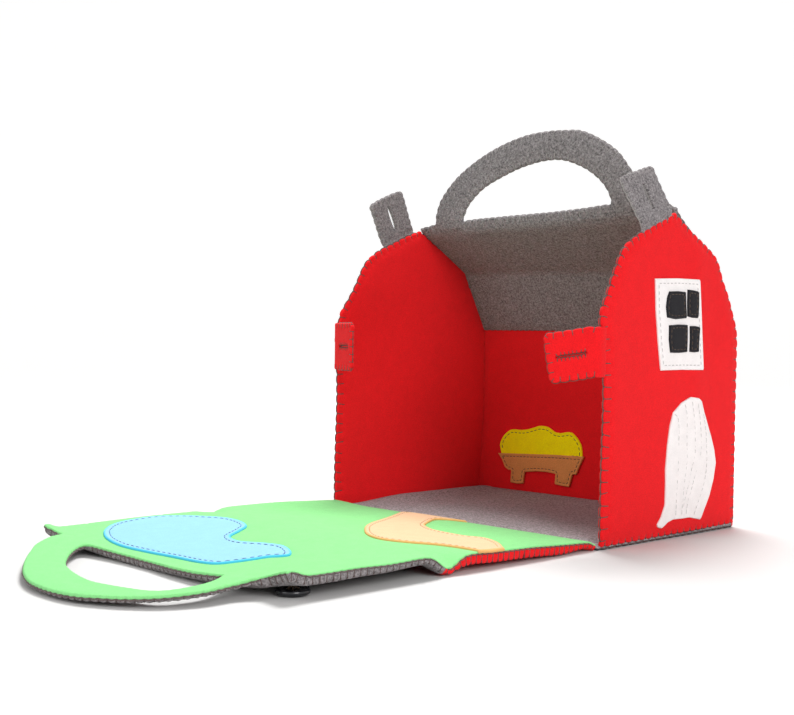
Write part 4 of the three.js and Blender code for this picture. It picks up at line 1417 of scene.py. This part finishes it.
class BARN_OT_tabs(bpy.types.Operator):
    """Closing tabs: two red ones folded into the barn, two grey ones standing on the roof's edge"""

    bl_idname = "barn.tabs"
    bl_label = "Closing tabs"

    def execute(self, context):
        s = sizes_of(context)
        for side, name in ((-1, "left"), (1, "right")):
            hinge = joint_at(f"{name}_wall_tab_fold")
            turn = math.radians(75 if side < 0 else 70)
            way = np.array([-side * math.sin(turn), -math.cos(turn)])
            out = s.half - 1.6 + (WALL_BOW * 0.8 if side < 0 else 0.4)
            points = [[side * (out - 0.4), -s.deep + 6], [side * out, hinge[1] + 4.4]]
            line = Fold([*points, hinge[:2] + way * 25.5, hinge[:2] + way * 60], [2.6, 3])
            root = line.run_at(hinge[:2])
            droop = math.radians(9 if side > 0 else 0)

            def mid(u, v, line=line, root=root, hinge=hinge, droop=droop):
                turn = droop * smooth(u / 8)
                x, y = line.at(u * np.cos(turn) + v * np.sin(turn) + root)
                return np.stack([x, y, hinge[2] + v * np.cos(turn) - u * np.sin(turn)], axis=-1)

            slit = (3.5, 20.5, 0.5)
            # The felt leaves the wall at the rim and its tongue ends 25.5 mm past the fold
            wide = 29.5 if side < 0 else 26.5
            ends = ([*line.at(root + k), hinge[2]] for k in (-3.6, 3.4))
            bend = over_fold("barn_box", f"{name}_wall_tab", *ends)
            self.make(s, name, "wall", mid, 25.5, wide, 7.0, slit, "red", "thread", side, 0, bend)
            hinge = joint_at(f"{name}_roof_tab_fold")
            turn = math.radians(18 if side > 0 else 23.5)
            out = np.array([-math.sin(turn), math.cos(turn)])
            along = np.array([math.cos(turn), math.sin(turn)])
            lean = 0.27 if side > 0 else -0.06

            def mid(u, v, side=side, hinge=hinge, out=out, along=along, lean=lean):
                inwards = 1.6 * smooth(-u / 9) + lean * np.maximum(u + 3, 0) * smooth((u + 3) / 6)
                bow = 1.0 * (v / 14) ** 2 * smooth(u / 20)
                return np.stack([hinge[0] - side * (inwards + bow) + 0 * v,
                                 *(hinge[k + 1] + out[k] * u + along[k] * v for k in range(2))], axis=-1)

            slit = (3.4, 17.7, 1.0 if side < 0 else 0.55)
            ends = ([hinge[0], *(hinge[1:] + out * k)] for k in (-3.0, 3.0))
            bend = over_fold("barn_box", f"{name}_roof_tab", *ends)
            self.make(s, name, "roof", mid, 25.2, 29, 10.5, slit, "grey", "pale_thread", side, -0.9, bend)
        return {"FINISHED"}

    def make(self, s, name, kind, mid, long, wide, root, slit, key, thread, side, taper, bend):
        """Two felts with a rounded tip and a slit, blanket stitched but for the root."""
        t = np.linspace(0, np.pi / 2, 7)
        corner = 3.0
        top = np.stack([long - corner + corner * np.cos(t), wide / 2 - corner + corner * np.sin(t)], 1)
        top[:, 1] -= taper
        foot = wide / 2 + (0 if kind == "wall" else 0.2)
        outline = np.vstack([[[-root, -foot]], (top * [1, -1])[::-1], top, [[-root, foot]]])
        first, last, gape = slit
        t = np.linspace(0, 2 * np.pi, 41)[:-1]
        hole = np.stack([(first + last) / 2 + (last - first) / 2 * np.cos(t),
                         gape * np.sign(np.sin(t)) * np.abs(np.sin(t)) ** 0.8], axis=1)
        cut = Cut(outline, holes=[hole], fine=0.7, coarse=2.6)
        tip = wide / 2 - corner
        sides = sewn([[-root + 4.5, -foot], [long, -tip], [long, tip], [-root + 4.5, foot]], True)
        sides += sewn([[last, 0], [first, 0], [last, 0]], True, True, 2.1, 1.9)
        seed = 71 + side + 3 * (kind == "roof")
        seam = Seam(cut, sides, s.sew_tab_pitch, 3.3, seed, pull=0.45, press=0.32)

        def thick(uv, on_top):
            # A roof tab's root is pressed thin between the wall's felts
            press = 0.3 + 0.7 * smooth((uv[..., 0] + 3) / 3.5) if kind == "roof" else 1
            return (s.edge / 2 - SLACK) * press, s.edge / 2 * press

        sheet = Panel(cut, mid, thick, seam, swell=5)
        for ply, on_top in (("outer", side > 0), ("lining", side < 0)):
            made = sheet.ply(f"{name}_{kind}_tab_{ply}_felt", felt_of(key), on_top)
            felt_piece(made, [f"{name}_{kind}_tab_{ply}"],
                       body=bend)
        radius = s.sew_thread * 0.8
        stitching(f"{name}_{kind}_tab_stitches", sheet.blanket(radius), thread, radius, bend)


class BARN_OT_window(bpy.types.Operator):
    """White window with four black panes on the right end wall"""

    bl_idname = "barn.window"
    bl_label = "Window"

    # Millimetres on the wall: depth and height
    frame_line = [
        [-20.6, 143.4], [0.7, 144.4], [21.4, 144.5], [22.6, 130.1], [24.1, 112.8], [26.1, 93.5], [5.2, 93.8],
        [-14.6, 93.6], [-17.6, 109.9], [-19.9, 126.5],
    ]
    pane_lines = [
        [[-8.4, 137.1], [-0.5, 137.5], [6.8, 137.3], [7.2, 130], [8, 122.9], [-2.5, 122.1], [-10.2, 122.9],
         [-11.3, 128.4], [-10.4, 133.5]],
        [[9.8, 138.7], [15, 138.5], [20.5, 137.8], [20.3, 130.9], [19.4, 123.1], [14.5, 123.2], [9.8, 123.9],
         [9.5, 131.4]],
        [[-7.5, 118.6], [1, 119.2], [9.6, 119.1], [9.8, 111.8], [9.6, 104.1], [1.6, 103.6], [-6.1, 103.7],
         [-7.6, 110.8]],
        [[13.4, 118.5], [18, 118.6], [22.7, 118], [21.8, 111.9], [21.6, 104.2], [17.4, 103.9], [13.4, 104.2],
         [13.7, 111]],
    ]

    def execute(self, context):
        radius = sizes_of(context).sew_fine_thread
        wall = MAT.right_wall
        outline = np.array(self.frame_line)
        window = Applique(wall, outline, lines=[inner_line(outline, 2.7)])
        applied(window, "window_felt", ["window_frame"], "white")
        dark = []
        for i, line in enumerate(self.pane_lines):
            outline = np.array(line) - [(0.4, 1.0, 1.1, 2.1)[i], 0.3]
            pane = Applique(wall, outline, under=window, lines=[inner_line(outline, 1.7)], fine=0.6)
            applied(pane, f"window_pane_felt_{i + 1}", [f"window_pane_{i + 1}"], "black")
            dark += pane.sewn(1.9, 1.1, radius * 0.8)
        stitching("window_stitches", window.sewn(2.2, 1.2, radius), "white_thread", radius)
        stitching("window_pane_stitches", dark, "dark_thread", radius * 0.8)
        return {"FINISHED"}


class BARN_OT_door(bpy.types.Operator):
    """White arched door with five sewn lines for its planks"""

    bl_idname = "barn.door"
    bl_label = "Door"

    # Millimetres on the wall: depth and height
    door_line = [
        [14.8, 78.5], [22.4, 77.7], [24.9, 75.9], [26.7, 72.1], [31.3, 64.4], [36.7, 55.6], [40.4, 47.8],
        [42.4, 40.1], [40.1, 30.6], [36.1, 21.4], [31.1, 14.2], [27.4, 8.4], [16.1, 10.6], [9.5, 10.5],
        [0.5, 10.8], [-5, 9.5], [-9.7, 6.7], [-13.7, 7.8], [-14.2, 9.4], [-10.7, 13.2], [-7.7, 19.3],
        [-7.7, 29.4], [-8.3, 39.4], [-7.1, 52.1], [-5, 63], [-2.1, 70.2], [5.9, 75.5],
    ]
    plank_lines = [
        [[-1.3, 69.5], [2.2, 66.8], [3.4, 59], [3.4, 49.8], [3.7, 40.5], [2.8, 26.7], [2.8, 17.5], [2.6, 12.6]],
        [[8.8, 74.9], [11, 67.9], [11.4, 54], [12.1, 43.7], [10.4, 32.7], [9.1, 21.6], [8.3, 12.4]],
        [[15.7, 76.3], [18, 65.8], [19.2, 53.6], [19.1, 46.1], [16.3, 36.9], [13.6, 27.8], [11.1, 21.5],
         [9.6, 16.9]],
        [[21.2, 75], [24.2, 61.8], [25.2, 51.4], [24.3, 44], [20.6, 35.7], [16.6, 25.7], [13.8, 19.4],
         [12.7, 12.4]],
        [[27.2, 69], [30.6, 57.8], [31.8, 48.3], [32.1, 38.8], [29.8, 29.5], [25, 20.4], [20.2, 11.4]],
    ]

    def execute(self, context):
        radius = sizes_of(context).sew_fine_thread * 0.8
        lines = [through(line) for line in self.plank_lines]
        door = Applique(MAT.right_wall, np.array(self.door_line), lines=lines)
        applied(door, "door_felt", ["barn_door"], "white")
        stitching("door_stitches", door.sewn(2.8, 0.6, radius), "white_thread", radius)
        return {"FINISHED"}


class BARN_OT_manger(bpy.types.Operator):
    """Brown manger full of yellow hay on the back wall"""

    bl_idname = "barn.manger"
    bl_label = "Manger and hay"

    # Millimetres on the wall: across and height
    hay_line = [
        [-79.5, 29.5], [-80.1, 31.2], [-81.4, 36.4], [-79.1, 41.5], [-75.1, 45.3], [-70.5, 47.3], [-62.4, 47.4],
        [-56.8, 48.2], [-51.2, 49.8], [-46.7, 51.1], [-41.2, 51.1], [-37.9, 50.2], [-33.5, 47.9],
        [-29.1, 47.4], [-24.8, 48.1], [-20.6, 48.5], [-17.4, 47.3], [-13.6, 43.8], [-11.1, 39.8], [-10.3, 34],
        [-10.6, 31],
    ]
    manger_line = [
        [-82.3, 30.2], [-78.5, 26.1], [-75.5, 21], [-72.5, 19.3], [-69.6, 19.3], [-70, 11], [-64.3, 10.6],
        [-58.6, 11.2], [-57.6, 19.1], [-47.5, 20.4], [-38.7, 20.7], [-31.6, 20.1], [-32, 13.2], [-25.5, 12.6],
        [-20.1, 12.4], [-17.6, 20.9], [-14.5, 21.1], [-12, 26.4], [-8.4, 33.3], [-17.4, 33.1], [-33.4, 32.7],
        [-50, 31.8], [-67, 30.9],
    ]

    def execute(self, context):
        radius = sizes_of(context).sew_fine_thread
        wall = MAT.back_wall
        hay = through(self.hay_line, per=5)
        line = inner_line(hay, 2.2, closed=False)
        line = line[line[:, 1] > 33]
        turn = np.argmax(np.linalg.norm(np.roll(line, -1, 0) - line, axis=1)) + 1
        line = np.roll(line, -turn, 0)
        pile = Applique(wall, hay, lines=[line])
        applied(pile, "hay_felt", ["hay_pile"], "yellow")
        manger = np.array(self.manger_line)
        trough = Applique(wall, manger, lines=[inner_line(manger, 2.0)], sink=-0.75, fine=0.7)
        applied(trough, "manger_felt", ["manger"], "brown")
        bundles = pile.sewn(2.2, 1.2, radius) + trough.sewn(2.0, 1.0, radius)
        stitching("manger_stitches", bundles, "dark_thread", radius)
        return {"FINISHED"}


class BARN_OT_buttons(bpy.types.Operator):
    """Four-hole buttons on thread shanks under the flap"""

    bl_idname = "barn.buttons"
    bl_label = "Buttons"

    def execute(self, context):
        wall_run, roof_run = 99.0, 191.1
        for kind, across, run, radius, thick, key, body in (
            ("wall", 82.7, wall_run, 5.4, 1.8, "navy", "front_wall"),
            ("roof", 85.5, roof_run, 7.5, 2.2, "black_button", "front_roof_upper"),
        ):
            for side, name in ((-1, "left"), (1, "right")):
                self.button(f"{name}_{kind}_button", side * across, run, radius, thick, key, body)
        return {"FINISHED"}

    def button(self, node_name, across, run, radius, thick, key, body):
        """Disc with a raised rim and four holes: its face is dished, by 0.4 mm inside 0.62 of its
        radius."""
        sheet = MAT.flap_sheet
        middle = np.array([[across, run]])
        top = sheet.place(middle, -sheet.surface(middle, False))[0]
        low = sheet.place(middle, -sheet.surface(middle, False) - 1)[0]
        down = low - top
        side_way = np.array([1.0, 0, 0])
        along = np.cross(down, side_way)
        t = np.linspace(0, 2 * np.pi, 73)[:-1]
        ring = np.stack([np.cos(t), np.sin(t)], axis=1)
        hole_at = radius * 0.24
        small = ring[::6] * radius * 0.11
        holes = [small + np.array([a, b]) * hole_at for a in (-1, 1) for b in (-1, 1)]
        cut = Cut(ring * radius, holes=holes, fine=0.32, coarse=0.8)

        def mid(u, v):
            return top + np.stack([u, v, 0 * u], axis=-1) @ np.stack([side_way, along, down])

        disc = Panel(cut, mid, None)
        from_middle = np.linalg.norm(cut.points, axis=1)
        rim = np.clip((radius - from_middle) / 0.6, 0, 1)
        dish = 0.4 * smooth((0.74 * radius - from_middle) / (0.12 * radius))
        # As far down as its shank or the table lets it hang
        near = min(3.25, float(top[2]) - thick - 0.8)
        high = near + thick - dish - 0.5 * (1 - np.sqrt(1 - (1 - rim) ** 2))
        lower = near + 0.35 * (1 - np.sqrt(1 - (1 - rim) ** 2))
        made = disc.solid(node_name + "_disc", felt_of(key), lower, high)
        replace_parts(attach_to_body(made, body), node_name)
        # Shank: four strands from the felt through the holes, crossed on the face
        face = near + thick - 0.4
        paths = []
        for a, b in ((-1, -1), (-1, 1), (1, -1), (1, 1)):
            start, end = np.array([a, b]) * hole_at, np.array([-a, -b]) * hole_at
            knots = [[*start * 0.25, -0.6], [*start * 0.35, near * 0.6], [*start, near + 0.1],
                     [*start, face - 0.1], [*start * 0.85, face + 0.25], [*(start + end) * 0.5, face + 0.42],
                     [*end * 0.85, face + 0.25], [*end, face - 0.1]]
            paths.append(resample(knots, 0.45, closed=False)[:26])
        count = min(map(len, paths))
        paths = np.array([p[:count] for p in paths])
        strands = mid(paths[..., 0], paths[..., 1]) + down * paths[..., 2:]
        stitching(node_name + "_shank", [strands], "dark_thread", 0.42, body)


def background_ray(tree):
    """1 for a ray that shows the white background: from the camera, off something glossy or through
    glass."""
    path = node(tree, "ShaderNodeLightPath")
    seen = path.outputs["Is Camera Ray"]
    for kind in ("Is Glossy Ray", "Is Transmission Ray"):
        either = node(tree, "ShaderNodeMath", {"operation": "MAXIMUM"}, {0: seen, 1: path.outputs[kind]})
        seen = either.outputs[0]
    return seen


class BARN_OT_stage(bpy.types.Operator):
    """Pale floor and backdrop, soft studio light and the camera"""

    bl_idname = "barn.stage"
    bl_label = "Stage, light and camera"

    def execute(self, context):
        scene = context.scene
        scene.view_settings.view_transform = "Standard"
        self.sweep()
        world = bpy.data.worlds.new("studio")
        scene.world = world
        world.use_nodes = True
        tree = world.node_tree
        back = next(n for n in tree.nodes if n.type == "BACKGROUND")
        back.inputs["Color"].default_value = (1, 1, 1, 1)
        level = node(tree, "ShaderNodeMapRange", None, {
            "Value": background_ray(tree), "To Min": 0.46, "To Max": 1.0})
        tree.links.new(level.outputs[0], back.inputs["Strength"])
        target = Vector((0.02, -0.1, 0.07))
        for name, spot, size, watts in (
            ("key light", (1.6, -0.7, 0.8), 0.9, 19.0),
            ("fill light", (-0.35, -1.3, 0.55), 0.9, 5.0),
            ("top light", (-0.24, 0.32, 1.12), 0.6, 20.0),
        ):
            lamp = bpy.data.lights.new(name, "AREA")
            lamp.shape, lamp.size, lamp.energy = "DISK", size, watts
            made = bpy.data.objects.new(name, lamp)
            made.location = spot
            made.rotation_mode = "QUATERNION"
            made.rotation_quaternion = (target - Vector(spot)).to_track_quat("-Z", "Y")
            scene.collection.objects.link(made)
        self.camera(scene)
        return {"FINISHED"}

    def sweep(self):
        """Floor and backdrop in one sheet: flat, then a quarter round, then upright. Sizes in
        millimetres."""
        front, rear, bend, top, side = 3000, 2200, 1000, 4000, 5000
        t = np.linspace(0, np.pi / 2, 24)
        corner = np.stack([rear + bend * np.sin(t), bend - bend * np.cos(t)], axis=1)
        profile = np.vstack([[[-front, 0]], corner, [[rear + bend, top]]])
        across = np.linspace(-side, side, 3)
        # The sweep is turned so that it stands square behind the object as the camera sees it
        turn = math.radians(CAMERA_TURN)
        c, d = math.cos(turn), math.sin(turn)
        grid = np.array([[[x * c - y * d, x * d + y * c, z] for x in across] for y, z in profile])
        rows, columns = grid.shape[:2]
        i, k = np.meshgrid(np.arange(rows - 1), np.arange(columns - 1), indexing="ij")
        a = (i * columns + k).ravel()
        triangles = np.vstack([np.stack([a, a + 1, a + columns + 1], 1),
                               np.stack([a, a + columns + 1, a + columns], 1)])
        made = mesh_object("studio_sweep", grid.reshape(-1, 3), triangles)
        normal = made.data.polygons[0].normal
        if normal.z < 0:
            made.data.flip_normals()
        material, tree, shader = nodes_of("white painted board")
        place = node(tree, "ShaderNodeTexCoord").outputs["Object"]
        grain = node(tree, "ShaderNodeTexNoise", None, {"Vector": place, "Scale": 3.0, "Detail": 2.0})
        tint = node(tree, "ShaderNodeMix", {"data_type": "RGBA"}, {
            "Factor": grain.outputs["Fac"], 6: linear("#CCCBCA"), 7: linear("#D0CFCE")})
        tree.links.new(tint.outputs[2], shader.inputs["Base Color"])
        shader.inputs["Roughness"].default_value = 0.9
        shader.inputs["Specular IOR Level"].default_value = 0.1
        # Near the barn the floor keeps its shadows; away from it floor and backdrop glow up to white
        away = node(tree, "ShaderNodeVectorMath", {"operation": "DISTANCE"}, {0: place, 1: (0.0, -0.1, 0.0)})
        rise = node(tree, "ShaderNodeMapRange", None, {
            "Value": away.outputs["Value"], "From Min": 0.28, "From Max": 0.8, "To Min": 0.0,
            "To Max": 0.7}).outputs["Result"]
        glow = node(tree, "ShaderNodeMath", {"operation": "MULTIPLY"}, {0: background_ray(tree), 1: rise})
        shader.inputs["Emission Color"].default_value = (1, 1, 1, 1)
        tree.links.new(glow.outputs[0], shader.inputs["Emission Strength"])
        made.data.materials.append(material)

    def camera(self, scene):
        """Camera fitted to the picture: CAMERA_TURN degrees round from the front, 0.97 up and rolled
        0.77."""
        az, el, roll = (math.radians(x) for x in (CAMERA_TURN, 0.97, 0.77))
        back = Vector((math.sin(az) * math.cos(el), -math.cos(az) * math.cos(el), math.sin(el)))
        right = (-back).cross(Vector((0, 0, 1))).normalized()
        up = right.cross(-back)
        x = math.cos(roll) * right + math.sin(roll) * up
        y = -math.sin(roll) * right + math.cos(roll) * up
        lens = bpy.data.cameras.new("camera")
        lens.sensor_width = 36
        lens.lens = FOCAL_LENGTH * lens.sensor_width / PICTURE_WIDTH
        camera = bpy.data.objects.new("camera", lens)
        turned = Matrix((x, y, back)).transposed().to_4x4()
        turned.translation = Vector((0.50141, -0.59563, 0.11044))
        camera.matrix_world = turned
        lens.clip_start, lens.clip_end = 0.01, 30
        scene.collection.objects.link(camera)
        scene.camera = camera


class BARN_PT_panel(bpy.types.Panel):
    """Lists the operators that build the barn"""

    bl_idname = "BARN_PT_panel"
    bl_label = "Felt play barn"
    bl_space_type = "VIEW_3D"
    bl_region_type = "UI"
    bl_category = "Barn"

    def draw(self, context):
        for operator in OPERATORS:
            self.layout.operator(operator.bl_idname)
        for group in (context.scene.barn_sizes, context.scene.barn_sewing, context.scene.barn_colours):
            box = self.layout.box()
            for key in group.__annotations__:
                box.prop(group, key)


GROUPS = {"barn_sizes": BarnSizes, "barn_sewing": BarnSewing, "barn_colours": BarnColours}
OPERATORS = [
    BARN_OT_materials, BARN_OT_stage, BARN_OT_floor, BARN_OT_end_walls, BARN_OT_back_wall, BARN_OT_back_roof,
    BARN_OT_flap, BARN_OT_flap_shapes, BARN_OT_tabs, BARN_OT_window, BARN_OT_door, BARN_OT_manger,
    BARN_OT_buttons,
]


def register():
    """Registers the classes and gives the scene its settings."""
    for cls in (*GROUPS.values(), *OPERATORS, BARN_PT_panel):
        bpy.utils.register_class(cls)
    for key, group in GROUPS.items():
        setattr(bpy.types.Scene, key, PointerProperty(type=group))


def unregister():
    """Takes the settings and the classes away again."""
    for key in GROUPS:
        delattr(bpy.types.Scene, key)
    for cls in (BARN_PT_panel, *reversed(OPERATORS), *reversed(GROUPS.values())):
        bpy.utils.unregister_class(cls)


def main():
    """Runs every operator in turn."""
    register()
    for operator in OPERATORS:
        group, name = operator.bl_idname.split(".")
        if getattr(getattr(bpy.ops, group), name)() != {"FINISHED"}:
            raise RuntimeError(operator.bl_label + " did not finish")


if __name__ == "__main__":
    main()
